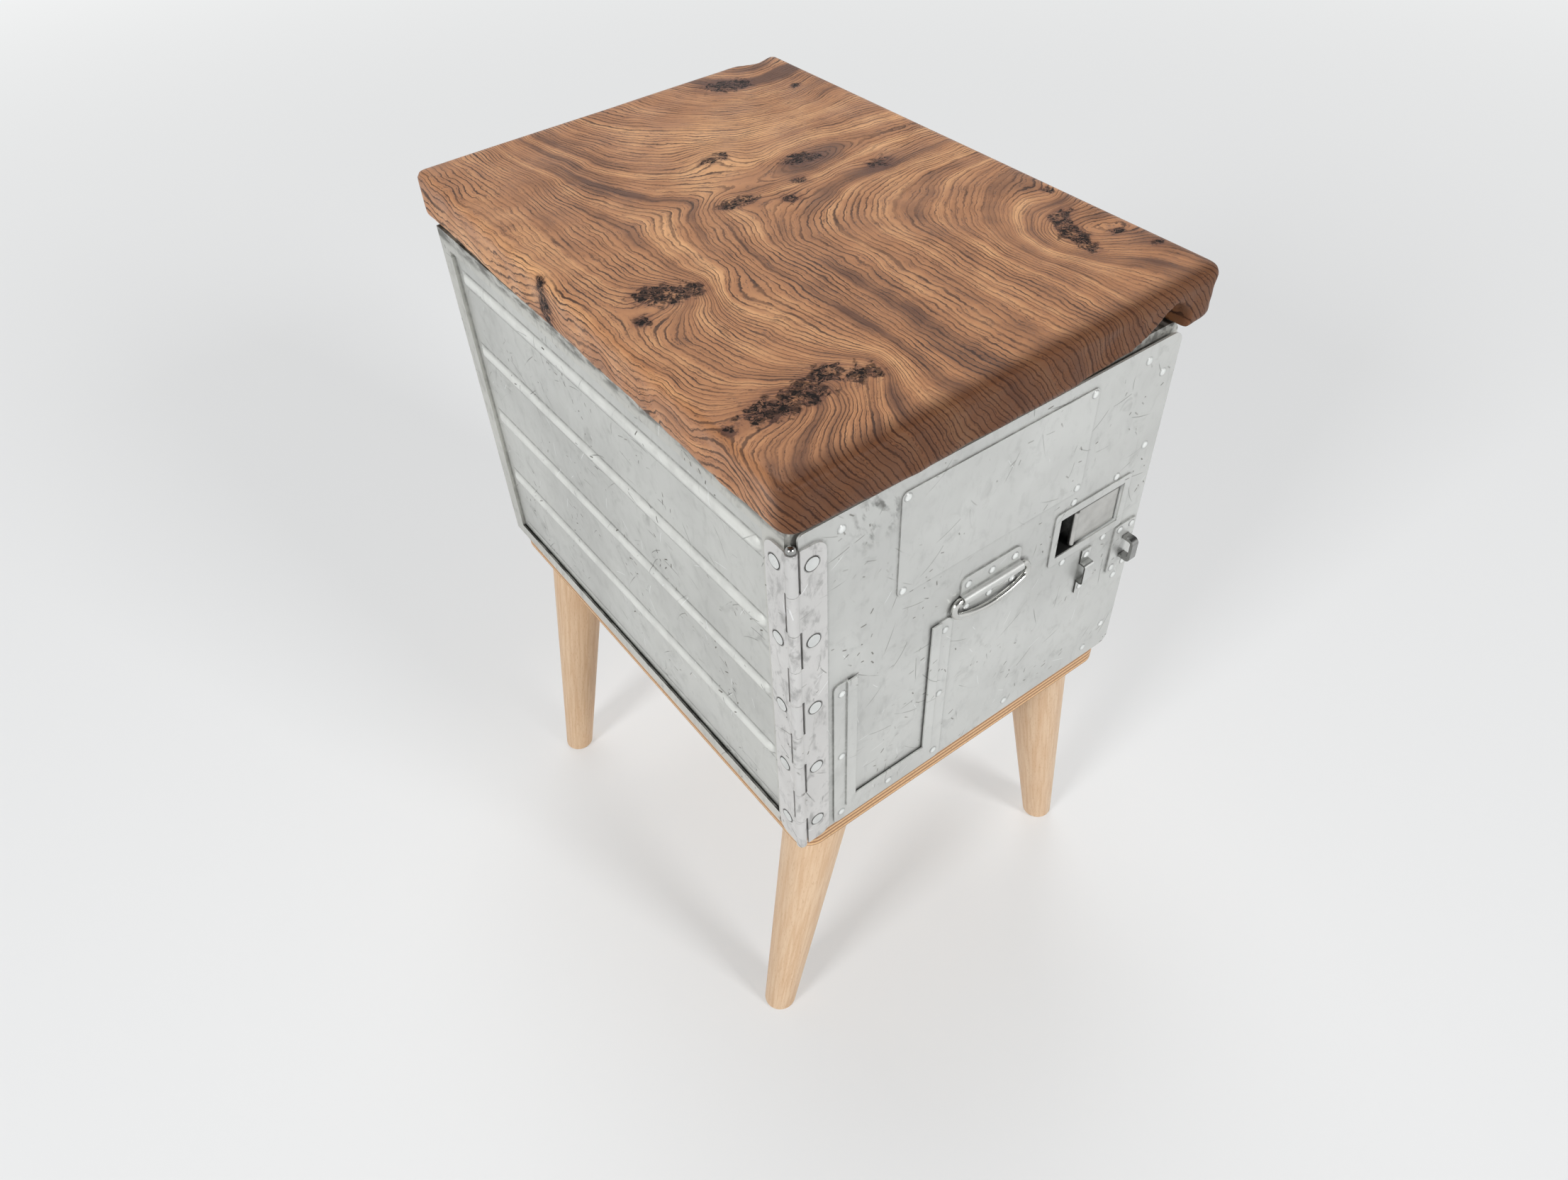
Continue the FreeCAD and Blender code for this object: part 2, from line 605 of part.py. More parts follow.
handle_spots = [(HANDLE_X + S.handle_rivet_x * i, HANDLE_Z + S.handle_rivet_z * k)
                for i in (-1, 0, 1) for k in (-1, 1)]
handle_rivets = door_rivets("handle_rivets", handle_spots, S.handle_gauge, S.skin_gauge)

latch_spots = [(LATCH_X + S.latch_rivet_x * i, LATCH_Z + S.latch_rivet_z * k)
               for i in (-1, 1) for k in (-1, 1)]
latch_rivets = door_rivets("latch_rivets", latch_spots, size(0), S.skin_gauge + S.dish_gauge)

clip_spots = [(CLIP_X, CLIP_LOW + S.clip_rivet_inset),
              (CLIP_X, CLIP_LOW + S.clip_height - S.clip_rivet_inset)]
clip_rivets = door_rivets("seal_clip_rivets", clip_spots, S.clip_gauge, S.skin_gauge)

staple_z = (STAPLE_LOW + S.staple_rivet_inset, STAPLE_LOW + S.staple_height - S.staple_rivet_inset)
staple_spots = [(STAPLE_X + S.staple_rivet_x * i, z) for i in (-1, 1) for z in staple_z]
staple_rivets = door_rivets("staple_rivets", staple_spots, S.staple_gauge, S.skin_gauge)

screw_spots = [(x, y) for x in (S.screw_inset, W - S.screw_inset) for y in (S.screw_first, D - S.screw_last)]
slab_screws = group(
    "slab_screws", screw(PANEL_IN + S.slab_screw_bite), [(x, y, H - PANEL_IN) for x, y in screw_spots], "Z")
base_screws = group(
    "base_screws", screw(PANEL_IN + S.base_screw_bite), [(x, y, PANEL_IN) for x, y in screw_spots], "-Z")


def make_mouth_frame():
    body = new_body("mouth_frame_ring")
    drawing = front_sketch(body, S.mouth_setback)
    rectangle(drawing, (0, W), (0, H), S.frame_corner)
    pad(body, drawing, S.frame_depth, against=True)
    drawing = front_sketch(body, S.mouth_setback)
    rectangle(drawing, (S.mouth_lip, W - S.mouth_lip), (S.mouth_lip, H - S.mouth_lip), S.frame_corner)
    pocket(body, drawing)
    drawing = front_sketch(body, LIP_BACK)
    rectangle(drawing, (S.frame_gauge, W - S.frame_gauge), (S.frame_gauge, H - S.frame_gauge))
    pocket(body, drawing, S.frame_depth - S.frame_gauge)
    drawing = sketch(body, "XY_Plane", H)
    rectangle(drawing, (S.rail_width, W - S.rail_width), (S.mouth_setback + S.rim_depth, FRAME_BACK))
    pocket(body, drawing, S.frame_gauge)
    relief = rod("hinge_relief", (HINGE_AXIS, HINGE_AXIS, 0), "Z", S.barrel_radius + S.barrel_relief, H)
    part(cut("mouth_frame", body, relief, hinge_body_rivets))


def make_side_panel(name, side):
    """A sheet with pressed beads. Side is 0 at the hinge and 1 at the latch."""
    inward = 1 - 2 * side
    face = side * W + inward * S.rail_gauge
    back = side * W + inward * PANEL_IN
    x = (back, face) if side else (face, back)
    sheet = box(name + "_sheet", x, (LIP_BACK, REAR_IN), (S.rail_gauge, H - S.rail_gauge))
    half = S.bead_width / 2
    radius = (half * half + S.bead_height * S.bead_height) / (2 * S.bead_height)
    centre = face + inward * (radius - S.bead_height)
    first, last = S.bead_front + half, D - S.bead_rear - half
    outer, inner = [], []
    for i in range(BEADS):
        z = S.bead_first + BEAD_PITCH * i
        for gathered, kind, r in ((outer, "bead", radius), (inner, "groove", radius - S.panel_gauge)):
            bar = doc.addObject("Part::Cylinder", f"{name}_{kind}")
            bar.Placement.Rotation = FreeCAD.Rotation(V(1, 0, 0), -90)
            place(bar, centre, first, z)
            bind(bar, Radius=r, Height=last - first)
            gathered += [bar] + [ball(f"{name}_{kind}_end", (centre, y, z), r) for y in (first, last)]
    proud = face - inward * (S.bead_height + 1)
    keep = box(name + "_keep", (back, proud) if side else (proud, back), (LIP_BACK, REAR_IN), (0, H))
    beads = common(name + "_beads", join(name + "_bead_bars", *outer), keep)
    pressed = cut(name + "_pressed", join(name + "_solid", sheet, beads), join(name + "_groove_bars", *inner))
    part(pressed if side else cut(name, pressed, hinge_body_rivets))
    if side:
        pressed.Label = name


def make_sheets():
    x, y = (PANEL_IN, W - PANEL_IN), (LIP_BACK, REAR_IN - S.panel_gauge)
    top = box("top_sheet", x, y, (H - PANEL_IN, H - S.rail_gauge))
    part(cut("top_panel", top, slab_screws))
    bottom = box("bottom_sheet", x, y, (S.rail_gauge, PANEL_IN))
    part(cut("bottom_panel", bottom, base_screws))
    part(box("back_panel", x, (REAR_IN - S.panel_gauge, REAR_IN), (S.rail_gauge, H - S.rail_gauge)))


def angle(name, upright, flat, *tools):
    """An angle rail of two legs, drilled by the given fasteners."""
    if not tools:
        part(join(name, box(name + "_leg", *upright), box(name + "_flat", *flat)))
        return
    rail = join(name + "_section", box(name + "_leg", *upright), box(name + "_flat", *flat))
    part(cut(name, rail, *tools))


def make_rails():
    gauge, width, low = S.rail_gauge, S.rail_width, S.low_gauge
    top, bottom = (H - S.rail_leg, H), (0, S.low_height)
    top_flat, bottom_flat = (H - gauge, H), (0, gauge)
    run = (FRAME_BACK, D)
    short = (FRAME_BACK, D - gauge)
    angle("top_rail_left", ((0, gauge), run, top), ((gauge, width), short, top_flat), slab_screws)
    angle("top_rail_right", ((W - gauge, W), run, top), ((W - width, W - gauge), short, top_flat),
          slab_screws)
    angle("top_rail_rear", ((gauge, W - gauge), (D - gauge, D), top),
          ((width, W - width), (D - width, D - gauge), top_flat))
    short = (FRAME_BACK, D - low)
    angle("bottom_rail_left", ((0, low), run, bottom), ((low, width), short, bottom_flat), base_screws)
    angle("bottom_rail_right", ((W - low, W), run, bottom), ((W - width, W - low), short, bottom_flat),
          base_screws)
    angle("bottom_rail_rear", ((low, W - low), (D - low, D), bottom),
          ((width, W - width), (D - width, D - low), bottom_flat))
    post = (S.low_height, H - S.rail_leg)
    angle("rear_post_left", ((0, gauge), (D - S.rail_leg, D), post), ((gauge, width), (D - gauge, D), post))
    angle("rear_post_right", ((W - gauge, W), (D - S.rail_leg, D), post),
          ((W - width, W - gauge), (D - gauge, D), post))


def knuckle_bars(name, first):
    """The knuckles of one leaf: every second one along the hinge, from the given one."""
    bars = []
    for i in range(first, KNUCKLES, 2):
        z = S.door_lift + KNUCKLE_PITCH * i + S.knuckle_gap / 2
        length = KNUCKLE_PITCH - S.knuckle_gap
        bars.append(rod(f"{name}_knuckle", (HINGE_AXIS, HINGE_AXIS, z), "Z", S.barrel_radius, length))
        if name == "hinge_door_leaf":
            tab = box(f"{name}_tab", (HINGE_AXIS, SKIN_LEFT), (-S.leaf_gauge, 0), (z, z + length))
        else:
            tab = box(f"{name}_tab", (-S.leaf_gauge, 0), (HINGE_AXIS, SKIN_LEFT), (z, z + length))
        bars.append(tab)
    return bars


def make_leaf(name, plane, far, first, way):
    """A knuckled leaf: a plate with rounded corners, knuckles round the pin and rings round its rivets."""
    body = new_body(name + "_plate")
    drawing = sketch(body, plane)
    low, high, corner = S.door_lift, LEAF_TOP, S.leaf_corner
    outline(drawing, [(SKIN_LEFT, low), (far, low, corner), (far, high, corner), (SKIN_LEFT, high)])
    pad(body, drawing, S.leaf_gauge, against=(plane == "YZ_Plane"))
    leaf = join(name + "_rolled", body, *knuckle_bars(name, first))
    bore = rod(name + "_bore", (HINGE_AXIS, HINGE_AXIS, 0), "Z", S.pin_radius + S.pin_clearance, H)
    rings = []
    for z in HINGE_HEIGHTS:
        start = (S.hinge_rivet_inset, 0, z) if way == "-Y" else (0, S.hinge_rivet_inset, z)
        rings.append(rod(name + "_ring", start, way, S.flush_head + S.flush_ring, 2 * S.leaf_gauge))
    part(cut(name, leaf, bore, *rings))


def make_hinge():
    make_leaf("hinge_body_leaf", "YZ_Plane", S.body_leaf, 0, "-X")
    make_leaf("hinge_door_leaf", "XZ_Plane", S.door_leaf, 1, "-Y")
    top = LEAF_TOP - S.knuckle_gap / 2
    foot = (HINGE_AXIS, HINGE_AXIS, S.door_lift)
    stem = rod("hinge_pin_stem", foot, "Z", S.pin_radius, top - S.door_lift + 1)
    head = ball("hinge_pin_ball", (HINGE_AXIS, HINGE_AXIS, top + S.pin_head / 2), S.pin_head)
    reach = (HINGE_AXIS - S.barrel_radius, HINGE_AXIS + S.barrel_radius)
    seat = box("hinge_pin_seat", reach, reach, (top, top + 2 * S.pin_head))
    part(join("hinge_pin", stem, common("hinge_pin_head", head, seat)))


def make_door():
    body = new_body("door_sheet")
    drawing = front_sketch(body)
    low, high = S.door_lift, DOOR_TOP
    near = S.door_corner / 2
    outline(drawing, [(SKIN_LEFT, low, near), (W, low, S.door_corner), (W, high, S.door_corner),
                      (SKIN_LEFT, high, near)])
    wide = S.dish_width / 2 + S.dish_gauge + S.dish_clearance
    tall = S.dish_height / 2 + S.dish_gauge + S.dish_clearance
    rectangle(drawing, (LATCH_X - wide, LATCH_X + wide), (LATCH_Z - tall, LATCH_Z + tall))
    pad(body, drawing, S.skin_gauge, against=True)
    part(cut("door_skin", body, hinge_door_rivets, edge_rivets, label_rivets, card_rivets, handle_rivets,
             latch_rivets, clip_rivets, staple_rivets))

    body = new_body("door_tray")
    drawing = front_sketch(body, S.skin_gauge)
    inset = S.pan_flange_inset
    rectangle(drawing, (SKIN_LEFT + inset / 2, W - inset), (low + inset, high - inset), S.tray_corner / 2)
    pad(body, drawing, S.pan_gauge, against=True)
    x, z = (S.tray_inset_hinge, W - S.tray_inset), (low + S.tray_inset, high - S.tray_inset)
    drawing = front_sketch(body, S.skin_gauge)
    rectangle(drawing, x, z, S.tray_corner)
    pad(body, drawing, S.pan_depth - S.skin_gauge, against=True)
    gauge = S.pan_gauge
    drawing = front_sketch(body, S.skin_gauge)
    rectangle(drawing, (x[0] + gauge, x[1] - gauge), (z[0] + gauge, z[1] - gauge), S.tray_corner - gauge)
    pocket(body, drawing, S.pan_depth - S.skin_gauge - gauge)
    part(cut("door_pan", body, hinge_door_rivets, edge_rivets, bolt_slot("pan_slot")))


def make_label_and_card_holder():
    body = new_body("label_sheet")
    drawing = front_sketch(body)
    rectangle(drawing, LABEL_X, (LABEL_LOW, LABEL_LOW + S.label_height), S.label_corner)
    pad(body, drawing, S.label_gauge)
    part(cut("label_plate", body, label_rivets))

    body = new_body("card_sheet")
    left, right = CARD_X
    low, high = S.card_low, CARD_TOP
    drawing = front_sketch(body)
    channel(drawing, (left, right), (low, high), S.card_band, S.card_foot_band, S.card_corner)
    pad(body, drawing, S.card_gauge)
    drawing = front_sketch(body, -S.card_gauge)
    start, foot = S.card_band - S.card_gauge, S.card_foot_band - S.card_gauge
    channel(drawing, (left + start, right - start), (low + foot, high), S.card_strip - start,
            S.card_foot_strip - foot, S.card_corner / 4)
    pad(body, drawing, S.card_gauge)
    part(cut("card_holder", body, card_rivets))


def channel(drawing, x, z, side, foot, corner):
    """A U open at the top."""
    outline(drawing, [(x[0], z[1], corner), (x[0], z[0], corner), (x[1], z[0], corner), (x[1], z[1], corner),
                      (x[1] - side, z[1]), (x[1] - side, z[0] + foot), (x[0] + side, z[0] + foot),
                      (x[0] + side, z[1])])


def strap(body, start, width, ends, bridge, rise, gauge, bends):
    """A flat strap with a raised bridge, pressed across its width."""
    drawing = sketch(body, "YZ_Plane", start)
    outer, inner = bends
    outline(drawing, [(0, ends[0]), (-gauge, ends[0]), (-gauge, bridge[0]), (-rise, bridge[0], outer),
                      (-rise, bridge[1], outer), (-gauge, bridge[1]), (-gauge, ends[1]), (0, ends[1]),
                      (0, bridge[1] - gauge), (gauge - rise, bridge[1] - gauge, inner),
                      (gauge - rise, bridge[0] + gauge, inner), (0, bridge[0] + gauge)])
    return pad(body, drawing, width)


def make_handle():
    gauge = S.handle_gauge
    bore = S.wire_radius + S.wire_clearance
    sleeve = bore + gauge
    body = new_body("handle_sheet")
    ends = (HANDLE_Z - S.handle_height / 2, HANDLE_Z + S.handle_height / 2)
    bridge, bends = (HANDLE_Z - sleeve, HANDLE_Z + sleeve), (sleeve * 0.95, bore * 0.9)
    left = HANDLE_X - S.handle_width / 2
    pressed = strap(body, left, S.handle_width, ends, bridge, bore + sleeve, gauge, bends)
    round_edges(body, pressed, S.handle_corner, lambda edge: along(edge, V(0, 1, 0)) and any(
        abs(edge.CenterOfMass.z - end.value) < 0.01 for end in ends))
    part(cut("handle_plate", body, handle_rivets))

    bail = doc.addObject("PartDesign::Body", "handle_bail")
    bail.Placement.Rotation = FreeCAD.Rotation(V(-1, 0, 0), S.bail_rest.value)
    place(bail, HANDLE_X, -bore, HANDLE_Z)
    bail.setExpression("Placement.Rotation.Angle", S.bail_rest.text)
    spine = sketch(bail, "XZ_Plane")
    bail_path(spine)
    end = sketch(bail, "YZ_Plane", -S.bail_split / 2)
    circle(end, 0, 0, S.wire_radius)
    pipe = bail.newObject("PartDesign::AdditivePipe", "bail_wire")
    pipe.Profile = end
    pipe.Spine = spine
    part(bail)


def bail_path(drawing):
    """The bail's centre line: two straight ends in the sleeve, two bends and a shallow bow."""
    bend, drop = S.bail_bend.value, S.bail_drop.value
    turn_x = S.bail_reach.value - bend
    split = S.bail_split.value / 2
    bow = (turn_x ** 2 + drop ** 2 - 2 * drop * bend) / (2 * (drop - 2 * bend))
    rise = bow - drop
    slope = atan2(turn_x, rise + bend)
    left_bend = Part.Circle(V(-turn_x, -bend, 0), V(0, 0, 1), bend)
    right_bend = Part.Circle(V(turn_x, -bend, 0), V(0, 0, 1), bend)
    bow_circle = Part.Circle(V(0, rise, 0), V(0, 0, 1), bow)
    drawing.addGeometry([
        Part.LineSegment(V(-split, 0, 0), V(-turn_x, 0, 0)),
        Part.ArcOfCircle(left_bend, pi / 2, 1.5 * pi - slope),
        Part.ArcOfCircle(bow_circle, 1.5 * pi - slope, 1.5 * pi),
        Part.ArcOfCircle(bow_circle, 1.5 * pi, 1.5 * pi + slope),
        Part.ArcOfCircle(right_bend, 1.5 * pi + slope, 2.5 * pi),
        Part.LineSegment(V(turn_x, 0, 0), V(split, 0, 0))])
    rule = Sketcher.Constraint
    reach = S.bail_reach - S.bail_bend
    rule_all(drawing, [
        (rule("PointOnObject", 0, 1, -1), None),
        (rule("PointOnObject", 0, 2, -1), None),
        (rule("DistanceX", 0, 1, -1, 1, split), S.bail_split / 2),
        (rule("DistanceX", 0, 2, -1, 1, turn_x), reach),
        (rule("Tangent", 0, 2, 1, 1), None),
        (rule("Radius", 1, bend), S.bail_bend),
        (rule("Tangent", 1, 2, 2, 1), None),
        (rule("PointOnObject", 2, 3, -2), None),
        (rule("DistanceY", 2, 2, -1, 1, drop), S.bail_drop),
        (rule("PointOnObject", 2, 2, -2), None),
        (rule("Tangent", 2, 2, 3, 1), None),
        (rule("Tangent", 3, 2, 4, 1), None),
        (rule("Radius", 4, bend), S.bail_bend),
        (rule("Tangent", 4, 2, 5, 1), None),
        (rule("PointOnObject", 5, 2, -1), None),
        (rule("DistanceX", -1, 1, 5, 1, turn_x), reach),
        (rule("DistanceX", -1, 1, 5, 2, split), S.bail_split / 2)])


def bolt_slot(name):
    """The clear space that the latch bolt slides in, from its inner end to beyond its nose."""
    gap = S.bolt_clearance
    return box(name, (LATCH_X + S.bolt_left, W),
               (S.bolt_front - gap, S.bolt_front + S.bolt_gauge + gap),
               (LATCH_Z - S.bolt_half - gap, LATCH_Z + S.bolt_half + gap))


def middle(centre, width):
    return centre - width / 2, centre + width / 2


def make_latch():
    x, z = LATCH_X, LATCH_Z
    inside_x, inside_z = middle(x, S.dish_width), middle(z, S.dish_height)
    wall = 2 * S.dish_gauge
    outside_x, outside_z = middle(x, S.dish_width + wall), middle(z, S.dish_height + wall)

    body = new_body("latch_bezel")
    drawing = front_sketch(body)
    rectangle(drawing, middle(x, S.bezel_width), middle(z, S.bezel_height), S.bezel_corner)
    rectangle(drawing, inside_x, inside_z)
    pad(body, drawing, S.bezel_gauge)
    part(body)

    pin = rod("latch_pin", (TAIL_X, S.pivot_y, outside_z[0]), "Z", S.pivot_radius, S.dish_height + wall)
    part(pin)

    body = new_body("latch_dish_pan")
    drawing = front_sketch(body, S.skin_gauge)
    rectangle(drawing, middle(x, S.dish_flange_width), middle(z, S.dish_flange_height), S.bezel_corner)
    pad(body, drawing, S.dish_gauge, against=True)
    drawing = front_sketch(body)
    rectangle(drawing, outside_x, outside_z)
    pad(body, drawing, S.dish_depth + S.dish_gauge, against=True)
    drawing = front_sketch(body)
    rectangle(drawing, inside_x, inside_z)
    pocket(body, drawing, S.dish_depth)
    part(cut("latch_dish", body, latch_rivets, pin, bolt_slot("dish_slot")))

    make_paddle(x, z)
    make_bolt(x, z)


def make_paddle(x, z):
    heights = (z - S.paddle_half, z + S.paddle_half)
    front = S.pivot_y - S.paddle_knuckle
    plate = box("paddle_plate", (x - S.paddle_left, TAIL_X), (front, front + S.paddle_gauge), heights)
    roll = rod("paddle_roll", (TAIL_X, S.pivot_y, heights[0]), "Z", S.paddle_knuckle, 2 * S.paddle_half)
    grip = rod("paddle_grip", (x - S.paddle_left, front + S.paddle_gauge / 2, heights[0]), "Z", S.paddle_lip,
               2 * S.paddle_half)
    tail = box("paddle_tail", (TAIL_X - S.tail_half, TAIL_X + S.tail_half),
               (S.pivot_y, S.pivot_y + S.tail_reach), (z - S.tail_height, z + S.tail_height))
    bore = rod("paddle_bore", (TAIL_X, S.pivot_y, z - H / 2), "Z", S.pivot_radius + S.pivot_clearance, H)
    part(cut("latch_paddle", join("paddle_solid", plate, roll, grip, tail), bore))


def make_bolt(x, z):
    front, back = S.bolt_front, S.bolt_front + S.bolt_gauge
    gap, gauge = S.bolt_clearance, S.guide_gauge
    body = new_body("bolt_bar")
    drawing = sketch(body, "XY_Plane", z - S.bolt_half)
    polygon(drawing, [(x + S.bolt_left, front), (BOLT_NOSE, front), (BOLT_NOSE, back - S.bolt_slant),
                      (BOLT_NOSE - S.bolt_slant, back), (x + S.bolt_left, back)])
    pad(body, drawing, 2 * S.bolt_half)
    slot = box("tail_slot", (TAIL_X - S.slot_left, TAIL_X + S.slot_right), (front - 1, back - S.slot_floor),
               middle(z, 2 * (S.tail_height + gap)))
    part(cut("latch_bolt", body, slot))

    half = S.bolt_half + gap
    depth = (front, S.dish_depth)
    run = (x - S.guide_left, x + S.guide_right)
    walls = [box("guide_wall", run, depth, span)
             for span in ((z - half - gauge, z - half), (z + half, z + half + gauge))]
    stop = box("guide_stop", (run[0], run[0] + gauge), depth, (z - half, z + half))
    part(join("latch_guide", *walls, stop))

    start, end = run[0] + gauge, x + S.bolt_left
    half = S.spring_gauge / 2
    step = (end - start) / 3
    turns = (front + half, S.dish_depth - half)
    folds = [(start + step * i, turns[i % 2]) for i in range(4)]
    body = new_body("latch_spring")
    drawing = sketch(body, "XY_Plane", z - S.spring_half)
    polygon(drawing, [(fold, y - half) for fold, y in folds] + [(fold, y + half) for fold, y in folds[::-1]])
    pad(body, drawing, 2 * S.spring_half)
    part(body)


def make_clip_and_staple():
    body = new_body("clip_strap")
    ends = (CLIP_LOW, CLIP_LOW + S.clip_height)
    bridge = middle(CLIP_LOW + S.clip_height / 2, S.clip_bridge)
    strap(body, CLIP_X - S.clip_width / 2, S.clip_width, ends, bridge, S.clip_rise, S.clip_gauge,
          (S.clip_bend, S.clip_bend - S.clip_gauge))
    part(cut("seal_clip", body, clip_rivets))

    body = new_body("staple_sheet")
    drawing = front_sketch(body)
    rectangle(drawing, middle(STAPLE_X, S.staple_width), (STAPLE_LOW, STAPLE_LOW + S.staple_height),
              S.staple_corner)
    pad(body, drawing, S.staple_gauge)
    part(cut("staple_plate", body, staple_rivets))

    body = new_body("staple_loop")
    drawing = sketch(body, "YZ_Plane", STAPLE_X + S.loop_shift - S.loop_width / 2)
    base, crest = -S.staple_gauge, -FRONT_REACH
    z = middle(STAPLE_LOW + S.staple_height / 2, S.loop_height)
    gauge, bend = S.loop_gauge, S.loop_bend
    inner, tight = crest + gauge, bend - gauge
    outline(drawing, [(base, z[0]), (crest, z[0], bend), (crest, z[1], bend), (base, z[1]),
                      (base, z[1] - gauge), (inner, z[1] - gauge, tight), (inner, z[0] + gauge, tight),
                      (base, z[0] + gauge)])
    pad(body, drawing, S.loop_width)
    part(body)


def leg_line(side, end):
    """Where a leg's centre line meets the board, and its direction upwards."""
    x, y = W / 2 + side * (W / 2 - S.leg_side_inset), D / 2 + end * (D / 2 - S.leg_end_inset)
    top = V(x.value, y.value, -S.board_gauge.value)
    return top, V(-side * S.leg_splay.value, 0, S.leg_height.value).normalize()


def make_base():
    corners = [(side, end) for end in (-1, 1) for side in (-1, 1)]
    bolts, inserts = [], []
    for side, end in corners:
        top, up = leg_line(side, end)
        bite, start, length = S.bolt_in_leg.value, S.insert_start.value, S.insert_length.value
        bolts.append(Part.makeCylinder(S.bolt_radius.value, bite + start + length, top - up * bite, up))
        sleeve = Part.makeCylinder(S.insert_radius.value, length, top + up * start, up)
        inserts.append(sleeve.cut(bolts[-1]))
    leg_bolts = numbered("leg_bolts", bolts)
    leg_inserts = numbered("leg_inserts", inserts)

    body = new_body("board_sheet")
    drawing = sketch(body, "XY_Plane", -S.board_gauge)
    rectangle(drawing, (S.board_inset, W - S.board_inset), (S.board_front, D - S.board_rear), S.board_corner)
    pad(body, drawing, S.board_gauge)
    part(cut("base_board", body, base_screws, leg_bolts, leg_inserts))

    for side, end in corners:
        row, hand = "front" if end < 0 else "rear", "left" if side < 0 else "right"
        make_leg(f"leg_{row}_{hand}", side, end, leg_bolts)


def make_leg(name, side, end, leg_bolts):
    """A straight taper, tilted outwards, sawn level at the board and the floor and rounded at the foot."""
    length = root(S.leg_splay * S.leg_splay + S.leg_height * S.leg_height)
    spare = S.leg_foot_radius
    growth = (S.leg_top_radius - S.leg_foot_radius) / length
    taper = doc.addObject("Part::Cone", name + "_taper")
    tilt = degrees(atan2(S.leg_splay.value, S.leg_height.value))
    taper.Placement.Rotation = FreeCAD.Rotation(V(0, -side, 0), tilt)
    foot_x = W / 2 + side * (W / 2 - S.leg_side_inset + S.leg_splay)
    foot_y = D / 2 + end * (D / 2 - S.leg_end_inset)
    place(taper, foot_x + side * S.leg_splay * spare / length, foot_y, FLOOR - S.leg_height * spare / length)
    taper.setExpression("Placement.Rotation.Angle", f"atan({S.leg_splay.text} / {S.leg_height.text})")
    bind(taper, Radius1=S.leg_foot_radius - growth * spare, Radius2=S.leg_top_radius + growth * spare,
         Height=length + 2 * spare)
    reach = S.leg_splay + 4 * S.leg_top_radius
    level = box(name + "_level", (foot_x - reach, foot_x + reach), (foot_y - reach, foot_y + reach),
                (FLOOR, -S.board_gauge))
    sawn = common(name + "_sawn", taper, level)
    doc.recompute()
    rounded = doc.addObject("Part::Fillet", name + "_foot")
    rounded.Base = sawn
    radius = S.foot_round.value
    rounded.Edges = [(i, radius, radius) for i, edge in enumerate(sawn.Shape.Edges, 1)
                     if edge.BoundBox.ZMax < 0.01]
    part(cut(name, rounded, leg_bolts))


def make_slab():
    """The live-edge slab: a tapered outline with a notched rear corner and a hollow under its front."""
    body = new_body("slab_blank")
    front, rear = -S.slab_front, D + S.slab_rear
    spots = [(-S.slab_front_left, front), (W + S.slab_front_right, front),
             (W + S.slab_rear_right, rear - S.rear_right_step), (W + S.lobe_reach, rear - S.rear_right_step),
             (W - S.notch_inset, rear - S.notch_step), (W - S.shoulder_inset, rear),
             (W / 2, rear - S.rear_middle_step), (-S.slab_rear_left, rear - S.rear_left_step)]
    drawing = sketch(body, "XY_Plane", H)
    polygon(drawing, spots)
    blank = pad(body, drawing, S.slab_thickness)
    for radius, chosen in ((S.slab_corner, (0, 1)), (S.notch_round, (2, 3, 4, 5, 7))):
        places = [V(spots[i][0].value, spots[i][1].value, 0) for i in chosen]
        blank = round_edges(body, blank, radius, lambda edge: along(edge, V(0, 0, 1)) and any(
            (V(edge.CenterOfMass.x, edge.CenterOfMass.y, 0) - spot).Length < 0.01 for spot in places))
    low, high = H.value, (H + S.slab_thickness).value
    blank = round_edges(body, blank, S.slab_arris, lambda edge: edge.BoundBox.ZLength < 0.01 and (
        abs(edge.BoundBox.ZMin - low) < 0.01 or abs(edge.BoundBox.ZMin - high) < 0.01))
    part(cut("slab_top", body, make_hollow(), slab_screws))


def make_hollow():
    """The undercut where the live edge falls away: an arch at the front that dies out backwards."""
    left, right, rise = (W - S.burr_start).value, (W - S.burr_end).value, S.burr_rise.value
    floor, span = H.value, right - left
    wires = []
    for y, low, high in ((-S.slab_front.value - 2, 0, 1), (S.burr_depth.value, 0.45, 0.06)):
        base = [(left + span * (low + (1 - low) * share), floor - 1 + (rise + 1) * height * high)
                for share, height in ((0, 0), (0.3, 0.2), (0.62, 0.5), (0.84, 1), (0.95, 0.8), (1, 0))]
        curve = Part.BSplineCurve()
        curve.interpolate([V(x, y, z) for x, z in base])
        closing = Part.makeLine(V(base[-1][0], y, base[-1][1]), V(base[0][0], y, base[0][1]))
        wires.append(Part.Wire([curve.toShape(), closing]))
    hollow = doc.addObject("Part::Feature", "slab_hollow")
    hollow.Shape = Part.makeLoft(wires, True, True)
    hollow.Placement = FreeCAD.Placement(V(*(start.value for start in ORIGIN)), FreeCAD.Rotation())
    return hollow


make_mouth_frame()
make_side_panel("side_panel_left", 0)
make_side_panel("side_panel_right", 1)
make_sheets()
make_rails()
make_hinge()
make_door()
make_label_and_card_holder()
make_handle()
make_latch()
make_clip_and_staple()
make_base()
make_slab()
doc.recompute()

for item in doc.Objects:
    faults = {"Invalid", "Error"} & set(item.State)
    if faults:
        raise ValueError(f"{item.Label}: {faults}")
for item in PARTS:
    if item.Shape.isNull() or not item.Shape.isValid() or not item.Shape.Solids:
        raise ValueError(f"{item.Label} has no sound solid")

